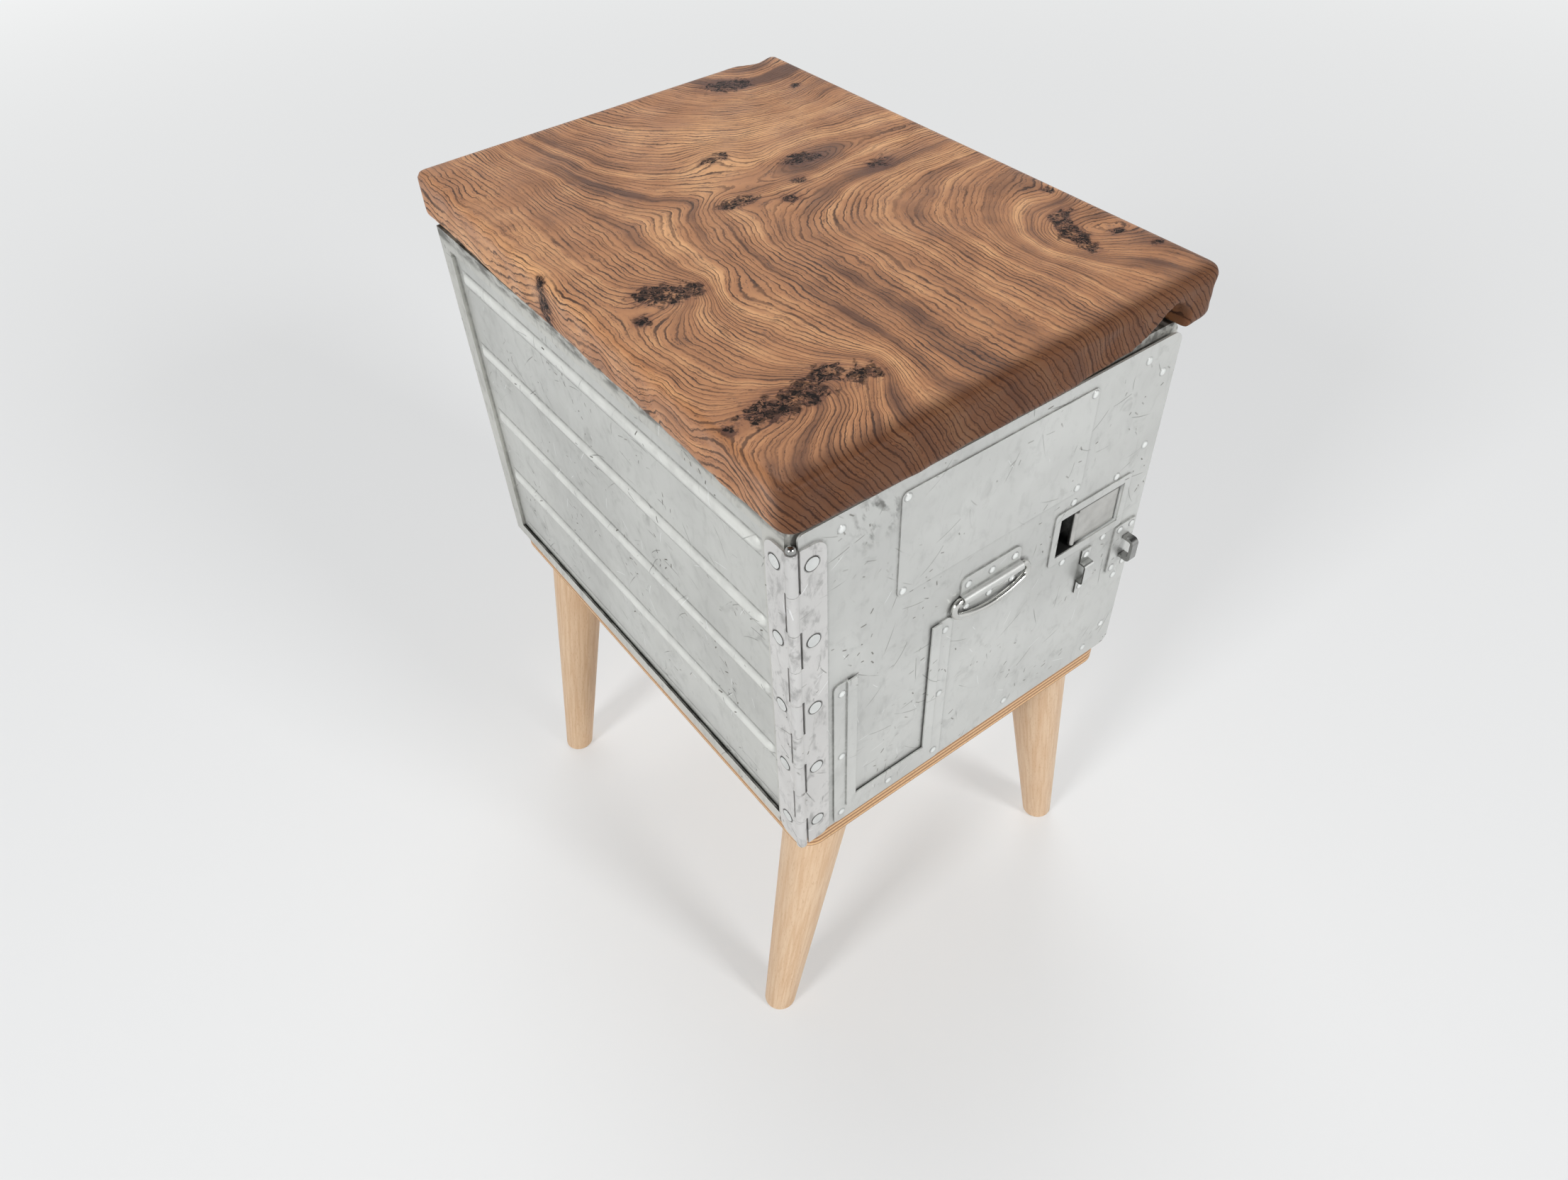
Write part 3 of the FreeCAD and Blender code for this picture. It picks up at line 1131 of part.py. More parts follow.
os.makedirs("parts", exist_ok=True)
whole = FreeCAD.BoundBox()
for item in PARTS:
    item.Shape.exportStep(f"parts/{item.Label}.step")
    whole.add(item.Shape.BoundBox)
    print(item.Label, len(item.Shape.Solids), round(item.Shape.Volume, 1))
print("box", [round(v, 3) for v in (whole.XMin, whole.XMax, whole.YMin, whole.YMax, whole.ZMin, whole.ZMax)])
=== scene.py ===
from math import exp, hypot, pi, radians

import bpy
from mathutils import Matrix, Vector, noise


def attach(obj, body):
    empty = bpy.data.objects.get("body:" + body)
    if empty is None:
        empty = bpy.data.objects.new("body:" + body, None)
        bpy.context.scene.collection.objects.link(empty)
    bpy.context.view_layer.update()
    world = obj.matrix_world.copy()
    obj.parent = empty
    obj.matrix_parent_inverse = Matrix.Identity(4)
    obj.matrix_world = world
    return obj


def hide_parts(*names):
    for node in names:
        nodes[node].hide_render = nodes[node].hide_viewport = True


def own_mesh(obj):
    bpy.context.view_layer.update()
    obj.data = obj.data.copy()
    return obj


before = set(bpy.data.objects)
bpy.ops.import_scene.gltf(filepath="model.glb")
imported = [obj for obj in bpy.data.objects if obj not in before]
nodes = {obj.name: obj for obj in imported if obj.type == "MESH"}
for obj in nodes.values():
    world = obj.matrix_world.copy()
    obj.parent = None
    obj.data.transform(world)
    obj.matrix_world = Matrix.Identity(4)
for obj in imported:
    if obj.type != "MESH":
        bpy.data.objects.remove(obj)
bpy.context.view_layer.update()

# Lengths are in millimetres unless a comment says metres, and angles are in degrees. Places are counted from
# the box's corner at the hinge, on the base board: x along the door, y backwards, z up. CORNER is that corner
# in the shared frame.
PER_METRE = 1000
CORNER = Vector((-149, -211, 275))
BOX_HEIGHT = 285
LATCH_HEIGHT = 156.5
LEG_LEAN = 10.2


class Nodes:
    """The nodes of a material or of the world, added and joined step by step."""

    def __init__(self, owner):
        owner.use_nodes = True
        self.tree = owner.node_tree

    def add(self, kind, **settings):
        node = self.tree.nodes.new("ShaderNode" + kind)
        for name, value in settings.items():
            setattr(node, name, value)
        return node

    def feed(self, socket, value):
        if isinstance(value, bpy.types.NodeSocket):
            self.tree.links.new(value, socket)
        elif value is not None:
            socket.default_value = value

    def maths(self, way, first, second=None, third=None):
        node = self.add("Math", operation=way)
        for socket, value in zip(node.inputs, (first, second, third)):
            self.feed(socket, value)
        return node.outputs["Value"]

    def times(self, first, second):
        return self.maths("MULTIPLY", first, second)

    def minus(self, first, second):
        return self.maths("SUBTRACT", first, second)

    def most(self, first, second):
        return self.maths("MAXIMUM", first, second)

    def apart(self, first, second):
        """How far two values lie apart."""
        return self.maths("ABSOLUTE", self.minus(first, second))

    def radius(self, first, second):
        """The distance from the middle of a place that lies that far off on two axes."""
        return self.maths("SQRT", self.maths("MULTIPLY_ADD", first, first, self.times(second, second)))

    def ease(self, value, low, high, first=0.0, last=1.0):
        """Goes smoothly from first to last while the value goes from low to high."""
        node = self.add("MapRange", interpolation_type="SMOOTHSTEP")
        for socket, item in zip(node.inputs, (value, low, high, first, last)):
            self.feed(socket, item)
        return node.outputs["Result"]

    def parts(self, vector):
        """The three coordinates of a vector, by name."""
        node = self.add("SeparateXYZ")
        self.feed(node.inputs["Vector"], vector)
        return node.outputs

    def channels(self, colour):
        """The red, green and blue of a colour, by name."""
        node = self.add("SeparateColor")
        self.feed(node.inputs["Color"], colour)
        return node.outputs

    def looked_at(self):
        """1 for rays from the camera, mirrors and glass, 0 for rays that only carry light."""
        path = self.add("LightPath").outputs
        mirrored = self.most(path["Is Glossy Ray"], path["Is Transmission Ray"])
        return self.most(path["Is Camera Ray"], mirrored)


class Finish(Nodes):
    """A material, with patterns on the piece's own coordinates in millimetres."""

    def __init__(self, name, roughness=0.5, metallic=0.0):
        self.material = bpy.data.materials.new(name)
        super().__init__(self.material)
        self.shader = self.tree.nodes["Principled BSDF"]
        self.set("Roughness", roughness)
        self.set("Metallic", metallic)
        self.place = self.turned(scale=(PER_METRE, PER_METRE, PER_METRE))

    def set(self, name, value):
        self.feed(self.shader.inputs[name], value)

    def turned(self, scale=(1, 1, 1), angle=(0, 0, 0), shift=(0, 0, 0), start=None):
        """Object coordinates, or a place made from them, scaled, turned by degrees and moved."""
        node = self.add("Mapping")
        if start is None:
            start = self.add("TexCoord").outputs["Object"]
        self.feed(node.inputs["Vector"], start)
        node.inputs["Scale"].default_value = scale
        node.inputs["Rotation"].default_value = [radians(item) for item in angle]
        node.inputs["Location"].default_value = shift
        return node.outputs["Vector"]

    def axis(self, name):
        """One coordinate of the place, in the shared frame."""
        return self.parts(self.place)[name]

    def off(self, name, distance=0):
        """How far the place lies beyond a distance from the box's corner, along one axis."""
        return self.minus(self.axis(name), CORNER["XYZ".index(name)] + distance)

    def clouds(self, cell, detail=3, start=None, stretch=(1, 1, 1), angle=(0, 0, 0), warp=0.0, rough=0.55):
        """Noise with patches of about the given size, longer where the stretch is under 1."""
        where = self.place if start is None else start
        if stretch != (1, 1, 1) or angle != (0, 0, 0):
            where = self.turned(start=self.turned(start=where, angle=angle), scale=stretch)
        node = self.add("TexNoise")
        self.feed(node.inputs["Vector"], where)
        node.inputs["Scale"].default_value = 1 / cell
        node.inputs["Detail"].default_value = detail
        node.inputs["Roughness"].default_value = rough
        node.inputs["Distortion"].default_value = warp
        return node.outputs["Fac"]

    def cells(self, cell, start=None):
        """Cells of about the given size, each with a middle and a chance colour of its own."""
        node = self.add("TexVoronoi")
        self.feed(node.inputs["Vector"], self.place if start is None else start)
        node.inputs["Scale"].default_value = 1 / cell
        return node.outputs

    def stirred(self, cell, reach):
        """The place moved by up to the reach along each axis, by amounts that wander over the given size."""
        node = self.add("TexNoise")
        self.feed(node.inputs["Vector"], self.place)
        node.inputs["Scale"].default_value = 1 / cell
        offset = self.add("VectorMath", operation="MULTIPLY_ADD")
        self.feed(offset.inputs[0], node.outputs["Color"])
        self.feed(offset.inputs[1], (reach, reach, reach))
        self.feed(offset.inputs[2], self.place)
        return offset.outputs["Vector"]

    def strokes(self, facing, cell, reach, width, share, shift=0):
        """Single marks with places, turns and lengths of their own, on sheets that face the given axis."""
        start = self.turned(start=self.place, shift=(shift, shift, shift))
        cells = self.cells(cell, start=start)
        chance = self.channels(cells["Color"])
        offset = self.add("VectorMath", operation="SUBTRACT")
        self.feed(offset.inputs[0], start)
        self.feed(offset.inputs[1], cells["Position"])
        turn = self.add("VectorRotate", rotation_type=facing + "_AXIS")
        self.feed(turn.inputs["Vector"], offset.outputs["Vector"])
        self.feed(turn.inputs["Angle"], self.times(chance["Red"], 2 * pi))
        spot = self.parts(turn.outputs["Vector"])
        across, along = (spot[name] for name in "XYZ".replace(facing, ""))
        curl = self.times(self.minus(chance["Red"], 0.5), 0.03)
        bent = self.maths("MULTIPLY_ADD", self.times(along, along), curl, across)
        length = self.maths("MULTIPLY_ADD", chance["Blue"], reach, 0.2 * reach)
        ends = self.maths("DIVIDE", self.maths("ABSOLUTE", along), length)
        line = self.ease(self.maths("ABSOLUTE", bent), width, 0.3 * width)
        mark = self.times(line, self.ease(ends, 1, 0.5))
        return self.times(mark, self.maths("LESS_THAN", chance["Green"], share))

    def tint(self, share, first, second):
        """The first colour, with the given share of the second in it."""
        node = self.add("Mix", data_type="RGBA", clamp_factor=True)
        self.feed(node.inputs["Factor"], share)
        self.feed(node.inputs[6], first)
        self.feed(node.inputs[7], second)
        return node.outputs[2]

    def normal(self):
        """The piece's own normal, which turns with it."""
        return self.parts(self.add("TexCoord").outputs["Normal"])

    def own(self, name):
        """A value that the piece's mesh carries."""
        return self.add("Attribute", attribute_name=name).outputs["Fac"]

    def crevice(self, reach):
        """1 in the open, less in corners closer than the reach."""
        node = self.add("AmbientOcclusion", samples=8)
        node.inputs["Distance"].default_value = reach / PER_METRE
        return node.outputs["AO"]

    def relief(self, height, depth, strength, under=None):
        """Bump from a height of 0 to 1 that stands for the given depth."""
        node = self.add("Bump")
        self.feed(node.inputs["Height"], height)
        node.inputs["Distance"].default_value = depth / PER_METRE
        node.inputs["Strength"].default_value = strength
        if under is not None:
            self.feed(node.inputs["Normal"], under)
        return node.outputs["Normal"]

    def softened(self, radius):
        """Edges rounded by the given radius, in the shading alone."""
        node = self.add("Bevel", samples=4)
        node.inputs["Radius"].default_value = radius / PER_METRE
        return node.outputs["Normal"]


def rgb(red, green, blue):
    """A colour as seen on a screen, 0 to 255, made linear."""
    def linear(value):
        value /= 255
        return value / 12.92 if value <= 0.04045 else ((value + 0.055) / 1.055) ** 2.4
    return linear(red), linear(green), linear(blue), 1.0


def shade(colour, share):
    """A colour made darker or lighter."""
    return [channel * share for channel in colour[:3]] + [1.0]


# Pieces modelled here: the latch's spring and the burr slab.

# Corners of a copied mesh that lie closer than this are joined. The slab's skin has cells of the second size.
WELD = 0.02
SKIN_CELL = 2.4

# The slab's flat top, and lines along its left, right and front edges that the live edges are counted from.
SLAB_TOP = 320
SLAB_LEFT, SLAB_RIGHT, SLAB_FRONT = -6, 312, -6

# The live edges' unevenness fades out over this depth inside those lines, over these heights under the flat
# top and over this stretch before the sawn back end.
EDGE_DEPTH = (-2, 14)
EDGE_TOP = (306, 317)
SAWN_END = (412, 426)

# Lumps of the live edges: their size and depth, and the share of the depth that goes inwards.
EDGE_LUMPS = ((45, 4.5), (12, 1.6))
LUMPS_INWARD = 0.62

# The grain is a height over the slab whose contours are the year rings. They bend round a branch, spread at
# their own rates in front of it and behind it, and step sideways with depth.
BRANCH = Vector((104, 258))
BRANCH_HALF = 8
BRANCH_BLEND = 90
SPREAD_FRONT, SPREAD_BEHIND = 1.45, 1.1
RING_STEP = 0.7

# Behind the branch the rings lean. The lean grows and then halves over these stretches of x.
RING_LEAN = 0.3
LEAN_GROWS = (25, 115)
LEAN_HALVES = (130, 220)

# Waves that the grain follows: their length, their reach, and where the second axis reads them.
WAVES = ((55, 7, Vector((9, 4, 2))), (17, 2, Vector((3, 8, 5))))

# Hills in the grain's height: x, y, reach along x, reach along y, lift.
HILLS = [
    (45, 168, 24, 22, -34), (70, 150, 20, 25, 18), (38, 45, 42, 30, -46), (85, 44, 18, 16, -18),
    (272, 75, 30, 34, 44), (300, 60, 20, 20, 14), (265, 420, 75, 75, 60), (215, 268, 30, 20, -22),
    (165, 303, 22, 18, -16), (142, 240, 20, 16, 14), (247, 222, 20, 16, -14), (-3, 240, 14, 24, -7),
    (-18, 90, 20, 26, -10), (303, 125, 16, 16, -12),
]

# Burr eyes: x, y, reach along x, reach along y.
EYES = [
    (38, 183, 16, 10), (46, 172, 13, 11), (20, 160, 7, 8), (62, 170, 9, 8), (24, 50, 17, 14),
    (50, 48, 16, 11), (84, 43, 12, 10), (68, 58, 12, 8), (160, 303, 8, 6), (173, 304, 7, 6),
    (205, 268, 12, 8), (218, 262, 11, 8), (136, 241, 10, 8), (150, 240, 8, 7), (172, 224, 8, 8),
    (193, 240, 7, 7), (247, 225, 13, 9), (270, 56, 6, 9), (272, 72, 9, 12), (278, 87, 10, 10),
    (288, 97, 10, 6), (296, 60, 6, 6), (304, 36, 6, 5), (284, 366, 6, 5), (240, 405, 18, 12),
    (254, 396, 11, 9), (-3, 240, 4, 8), (-14, 90, 4, 9), (303, 125, 5, 6), (1, 48, 4, 5),
]

# Paler and darker parts of the wood: x, y, reach along x, reach along y, and how much paler.
TONES = [
    (25, 330, 28, 110, 0.15), (75, 350, 30, 70, -0.8), (95, 290, 24, 40, -0.5), (112, 110, 14, 110, -0.6),
    (145, 90, 8, 100, -0.9), (180, 330, 60, 60, 0.5), (215, 150, 50, 70, -0.1), (262, 405, 55, 26, -1.0),
    (300, 390, 22, 40, -0.7), (215, 262, 30, 18, -0.7), (247, 223, 16, 12, -0.8), (45, 60, 50, 30, -0.25),
    (60, 8, 80, 24, -0.5), (295, 20, 30, 30, -0.7), (300, 95, 20, 50, -0.5), (160, 245, 40, 25, -0.3),
    (130, 275, 50, 25, 0.4), (230, 330, 60, 40, 0.3),
]


def only(piece):
    """Selects one piece and nothing else."""
    bpy.ops.object.select_all(action="DESELECT")
    piece.select_set(True)
    bpy.context.view_layer.objects.active = piece


def apply_all(piece):
    """Applies a piece's modifiers in their order."""
    only(piece)
    for modifier in list(piece.modifiers):
        bpy.ops.object.modifier_apply(modifier=modifier.name)


def merged_copy(node, name):
    """A piece of its own in the shape of a CAD node, its facets joined at their corners."""
    piece = bpy.data.objects.new(name, nodes[node].data.copy())
    bpy.context.scene.collection.objects.link(piece)
    only(piece)
    bpy.ops.object.mode_set(mode="EDIT")
    bpy.ops.mesh.select_all(action="SELECT")
    bpy.ops.mesh.remove_doubles(threshold=WELD / PER_METRE)
    bpy.ops.mesh.normals_make_consistent(inside=False)
    bpy.ops.object.mode_set(mode="OBJECT")
    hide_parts(node)
    return piece


def model_spring():
    """The latch's folded spring, which the bolt presses together against the guide's closed end."""
    spring = merged_copy("latch_spring", "folded_spring")
    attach(spring, "door")
    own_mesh(spring)


def eased(value, low, high):
    """Goes smoothly from 0 to 1 while the value goes from low to high."""
    share = min(max((value - low) / (high - low), 0), 1)
    return share * share * (3 - 2 * share)


def soft_least(first, second, blend):
    """The smaller of two values, with a round turn from one to the other."""
    nearness = max(blend - abs(first - second), 0) / blend
    return min(first, second) - nearness * nearness * blend / 4


def hill(x, y, spot):
    """1 in the middle of a spot, falling away over its reach."""
    return exp(-((x - spot[0]) / spot[2]) ** 2 - ((y - spot[1]) / spot[3]) ** 2)


def grain_height(x, y, z):
    """The rings run straight on the left, turn into the branch and wander round the burrs."""
    spot = Vector((x, y, z))
    for length, reach, aside in WAVES:
        x += reach * noise.noise(spot / length)
        y += reach * noise.noise(spot / length + aside)
    behind = y - BRANCH.y
    lean = RING_LEAN * max(behind - BRANCH_HALF / 2, 0)
    lean *= eased(x, *LEAN_GROWS)
    lean *= 1 - 0.5 * eased(x, *LEAN_HALVES)
    away = SPREAD_BEHIND * behind if behind >= 0 else -SPREAD_FRONT * behind
    height = BRANCH.x + soft_least(x + lean - BRANCH.x, hypot(away, BRANCH_HALF), BRANCH_BLEND)
    height += sum(rise[4] * hill(x, y, rise) for rise in HILLS)
    return height - RING_STEP * (SLAB_TOP - z)


def burr_share(x, y):
    """1 in the middle of a burr eye, next to nothing well away from them all."""
    return min(sum(hill(x, y, eye) for eye in EYES), 1)


def wood_tone(x, y):
    """How much paler the wood is at a place, or darker where it is under 0."""
    return sum(tone[4] * hill(x, y, tone) for tone in TONES)


def carry(piece, name, values):
    """Keeps one value for each vertex of the piece's mesh, for its material."""
    piece.data.attributes.new(name, "FLOAT", "POINT").data.foreach_set("value", values)


def places(piece):
    """The vertices' places from the box's corner."""
    return [vertex.co * PER_METRE - CORNER for vertex in piece.data.vertices]


def roughen_edges(slab):
    """Makes the live edges uneven and leaves the top and the sawn back end flat."""
    edges = slab.vertex_groups.new(name="live_edges")
    for index, (x, y, z) in enumerate(places(slab)):
        inside = min(x - SLAB_LEFT, SLAB_RIGHT - x, y - SLAB_FRONT)
        share = (1 - eased(inside, *EDGE_DEPTH)) * (1 - eased(z, *EDGE_TOP)) * (1 - eased(y, *SAWN_END))
        edges.add([index], share, "REPLACE")
    for cell, depth in EDGE_LUMPS:
        lumps = bpy.data.textures.new("live_edge_lumps", "CLOUDS")
        lumps.noise_scale = cell / PER_METRE
        push = slab.modifiers.new("live_edge", "DISPLACE")
        push.texture = lumps
        push.texture_coords = "LOCAL"
        push.strength = depth / PER_METRE
        push.mid_level = LUMPS_INWARD
        push.vertex_group = edges.name
    relax = slab.modifiers.new("sanding", "SMOOTH")
    relax.factor = 0.5
    relax.iterations = 3
    apply_all(slab)
    bpy.ops.object.shade_smooth()


def model_slab():
    """The burr slab: the solid's form with a fine skin, its live edges uneven, its top flat."""
    slab = merged_copy("slab_top", "burr_slab")
    slab.data.materials.clear()
    slab.modifiers.new("skin", "REMESH").voxel_size = SKIN_CELL / PER_METRE
    apply_all(slab)
    roughen_edges(slab)
    spots = places(slab)
    carry(slab, "grain", [grain_height(*spot) for spot in spots])
    carry(slab, "burr", [burr_share(spot.x, spot.y) for spot in spots])
    carry(slab, "tone", [wood_tone(spot.x, spot.y) for spot in spots])
    slab.data.materials.append(burr_elm())
    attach(slab, "cabinet")


# Wood.

ELM = {
    "pale": rgb(236, 180, 128), "brown": rgb(188, 132, 90), "dim": rgb(98, 63, 44), "late": rgb(134, 84, 52),
    "front": rgb(80, 53, 40), "left": rgb(224, 150, 90), "line": rgb(52, 30, 20), "halo": rgb(104, 56, 38),
    "core": rgb(46, 27, 23), "eye": rgb(22, 13, 10),
}

# The width of a year ring, and the scale along the grain that draws its patterns out twenty times.
RING_WIDTH = 3.9
ALONG_GRAIN = 0.05

# Where the colours of the slab's front and left edges start and where they are full, and their full share.
FRONT_EDGE = (12, -5)
LEFT_EDGE = (-6, -12)
EDGE_COLOUR = 0.85

# The height of a light and a dark ply together.
PLY_PAIR = 4


def year_rings(wood, front):
    """Broad bands and fine fibre along the grain, late wood, ring lines and pores."""
    wobble = wood.maths("MULTIPLY_ADD", wood.clouds(10, 3), 4.0, wood.times(wood.clouds(2.2, 2), 0.9))
    height = wood.maths("ADD", wood.own("grain"), wobble)
    along = wood.add("CombineXYZ")
    wood.feed(along.inputs["X"], height)
    wood.feed(along.inputs["Y"], wood.times(wood.axis("Y"), ALONG_GRAIN))
    wood.feed(along.inputs["Z"], wood.times(wood.axis("X"), ALONG_GRAIN))
    along = along.outputs["Vector"]
    bands, fibre = wood.clouds(15, 4, start=along), wood.clouds(0.75, 3, start=along)
    year = wood.maths("FRACT", wood.times(wood.maths("MULTIPLY_ADD", bands, 13, height), 1 / RING_WIDTH))
    late = wood.ease(year, 0.1, 0.9)
    line = wood.times(wood.ease(year, 0.66, 0.82), wood.ease(year, 1.0, 0.93))
    strong = wood.ease(wood.clouds(34, 3), 0.3, 0.66, 0.25, 1.0)
    line = wood.times(line, wood.most(front, strong))
    pores = wood.times(wood.ease(fibre, 0.54, 0.66), wood.ease(wood.clouds(1.8, 2), 0.4, 0.6))
    return bands, fibre, late, line, pores


def burr_eyes(wood):
    """The burrs' brown halo, dark core, and black pips and bark pockets."""
    burr, lumps = wood.own("burr"), wood.clouds(7, 5, warp=0.6)
    zone = wood.maths("MULTIPLY_ADD", burr, 0.5, lumps)
    halo = wood.times(wood.ease(burr, 0.08, 0.75), wood.ease(lumps, 0.3, 0.6, 0.3, 1.0))
    mottled = wood.ease(wood.clouds(2.4, 4, warp=0.8), 0.38, 0.6, 0.2, 1.0)
    core = wood.times(wood.ease(zone, 0.78, 0.96), mottled)
    pips = wood.cells(4.6, start=wood.stirred(2.8, 4.5))
    size = wood.channels(pips["Color"])["Red"]
    pip = wood.ease(pips["Distance"], wood.times(size, 0.88), wood.times(size, 0.48))
    pip = wood.times(wood.times(pip, wood.ease(zone, 0.66, 0.8)), 0.65)
    pocket = wood.ease(wood.clouds(4.2, 6, warp=1.6, rough=0.7), 0.46, 0.55)
    black = wood.most(pip, wood.times(pocket, wood.ease(zone, 0.76, 0.9)))
    return halo, core, black


def burr_elm():
    """Oiled burr elm: ring lines, bands and pores along them, black burr eyes, a darker front edge."""
    wood = Finish("burr_elm")
    front = wood.ease(wood.off("Y"), *FRONT_EDGE, 0.0, EDGE_COLOUR)
    left = wood.ease(wood.off("X"), *LEFT_EDGE, 0.0, EDGE_COLOUR)
    bands, fibre, late, line, pores = year_rings(wood, front)
    halo, core, black = burr_eyes(wood)
    streak = wood.times(wood.minus(bands, 0.5), 4.0)
    patch = wood.times(wood.minus(wood.clouds(26, 4), 0.5), 1.6)
    broken = wood.times(wood.own("tone"), wood.ease(bands, 0.3, 0.7, 1.6, 0.5))
    tone = wood.maths("ADD", wood.maths("ADD", broken, streak), patch)

    colour = wood.tint(wood.ease(tone, -0.2, 1.2), ELM["brown"], ELM["pale"])
    colour = wood.tint(wood.ease(tone, 0.1, -1.5), colour, ELM["dim"])
    colour = wood.tint(front, colour, ELM["front"])
    colour = wood.tint(left, colour, ELM["left"])
    colour = wood.tint(wood.times(late, 0.22), colour, ELM["late"])
    colour = wood.tint(wood.ease(fibre, 0.4, 0.7, 0.0, 0.3), colour, ELM["late"])
    colour = wood.tint(wood.times(line, 0.9), colour, ELM["line"])
    colour = wood.tint(wood.times(pores, 0.6), colour, ELM["line"])
    colour = wood.tint(wood.times(halo, 0.6), colour, ELM["halo"])
    colour = wood.tint(wood.times(core, 0.72), colour, ELM["core"])
    wood.set("Base Color", wood.tint(black, colour, ELM["eye"]))

    eyes = wood.most(black, wood.times(core, 0.6))
    wood.set("Specular IOR Level", wood.ease(wood.most(eyes, front), 0, 1, 0.4, 0.1))
    oiled = wood.ease(wood.clouds(30, 4), 0.3, 0.7, 0.38, 0.5)
    wood.set("Roughness", wood.maths("MULTIPLY_ADD", line, 0.12, oiled))
    sunk = wood.most(wood.times(line, 0.5), wood.most(pores, eyes))
    wood.set("Normal", wood.relief(wood.minus(1, sunk), depth=0.35, strength=0.6))
    return wood.material


def plywood():
    """Birch ply: pale face veneer and an edge of thin plies, light and dark by turns."""
    ply = Finish("plywood")
    height = ply.maths("MULTIPLY_ADD", ply.clouds(40, 2), 0.5, ply.axis("Z"))
    layer = ply.maths("SINE", ply.times(height, 2 * pi / PLY_PAIR))
    end_grain = ply.clouds(0.7, 3, stretch=(0.35, 0.35, 1.0))
    glue = ply.ease(ply.apart(layer, 0.2), 0.22, 0.05)
    edge = ply.tint(ply.ease(layer, -0.1, 0.5), rgb(226, 186, 138), rgb(164, 114, 74))
    edge = ply.tint(ply.ease(end_grain, 0.45, 0.7, 0, 0.4), edge, rgb(140, 96, 60))
    edge = ply.tint(ply.times(glue, 0.6), edge, rgb(92, 58, 34))
    flat = ply.ease(ply.maths("ABSOLUTE", ply.normal()["Z"]), 0.6, 0.9)
    veneer = ply.clouds(5, 4, stretch=(1, 0.05, 1), warp=0.4)
    face = ply.tint(ply.ease(veneer, 0.35, 0.7), rgb(222, 188, 142), rgb(196, 156, 108))
    ply.set("Base Color", ply.tint(flat, edge, face))
    ply.set("Roughness", ply.ease(end_grain, 0.3, 0.7, 0.42, 0.6))
    grain = ply.tint(flat, end_grain, veneer)
    ply.set("Normal", ply.relief(grain, depth=0.15, strength=0.4, under=ply.softened(0.6)))
    return ply.material


def leg_beech(name, tilt):
    """Pale beech with long fine grain along the leg and short darker flecks."""
    wood = Finish(name)
    upright = wood.turned(start=wood.place, angle=(0, tilt, 0))
    grain = wood.clouds(2.2, 4, start=upright, stretch=(1, 1, 0.02), warp=0.2)
    fleck = wood.ease(wood.clouds(0.7, 1, start=upright, stretch=(1, 1, 0.14), rough=0.3), 0.6, 0.72)
    broad = wood.clouds(22, 2, start=upright, stretch=(1, 1, 0.12))
    colour = wood.tint(wood.ease(grain, 0.32, 0.7), rgb(223, 194, 161), rgb(209, 174, 138))
    colour = wood.tint(wood.ease(broad, 0.4, 0.7, 0, 0.4), colour, rgb(210, 172, 134))
    colour = wood.tint(wood.times(fleck, 0.35), colour, rgb(186, 142, 102))
    wood.set("Base Color", colour)
    wood.set("Roughness", wood.ease(grain, 0.3, 0.7, 0.38, 0.5))
    wood.set("Normal", wood.relief(grain, depth=0.08, strength=0.35))
    return wood.material


# Metal.

SCRATCH, GLEAM, NICK = rgb(112, 112, 108), rgb(250, 252, 252), rgb(92, 88, 80)
# Dark colours of dirt mixed with painted shade, for sheets and for steel.
SHEET_DIRT_AND_SHADE, STEEL_DIRT_AND_SHADE = rgb(58, 57, 52), rgb(52, 50, 46)

# The hinge's rivets: the lowest one's height, the step to the next, the inset from the box's corner, and the
# radius of the dirt round each.
HINGE_RIVETS = {"first": 23, "step": 58.8, "inset": 12.5, "rim": 4.9}

# The side panels' beads: the lowest one's height, the step to the next, half a bead's width, the ends of its
# run, and how far its painted crest highlight lies above its middle.
BEADS = {"first": 72, "step": 60, "half": 6.3, "front": 30, "rear": 390, "crest": 1.5}

# The smear on the door: its middle, and the radii within which it is full and at which it ends.
SMEAR = {"x": 58, "z": 264, "full": 8, "reach": 26}

# Where marks start and are full: the rails' streaks, from the box's top edge, the paddle's painted shadow,
# from the latch's middle, and the part of the latch's dish painted pale as if lit, beyond its finger hole.
RAIL_STREAKS = (-11, -5)
PADDLE_SHADOW = (11.8, 13.4)
DISH_PAINTED_LIGHT = (232, 246)


def sheet_marks(metal, facing, busy):
    """Scratches, nicks and bright scrapes, the first two where the sheet was handled most."""
    scratch = metal.strokes(facing, cell=22, reach=15, width=0.5, share=0.7)
    scratch = metal.times(scratch, metal.ease(busy, 0.44, 0.6))
    nick = metal.strokes(facing, cell=9, reach=2.6, width=0.7, share=0.5, shift=7)
    nick = metal.times(nick, metal.ease(busy, 0.52, 0.64))
    gleam = metal.strokes(facing, cell=24, reach=8, width=0.4, share=0.3, shift=19)
    return scratch, nick, gleam


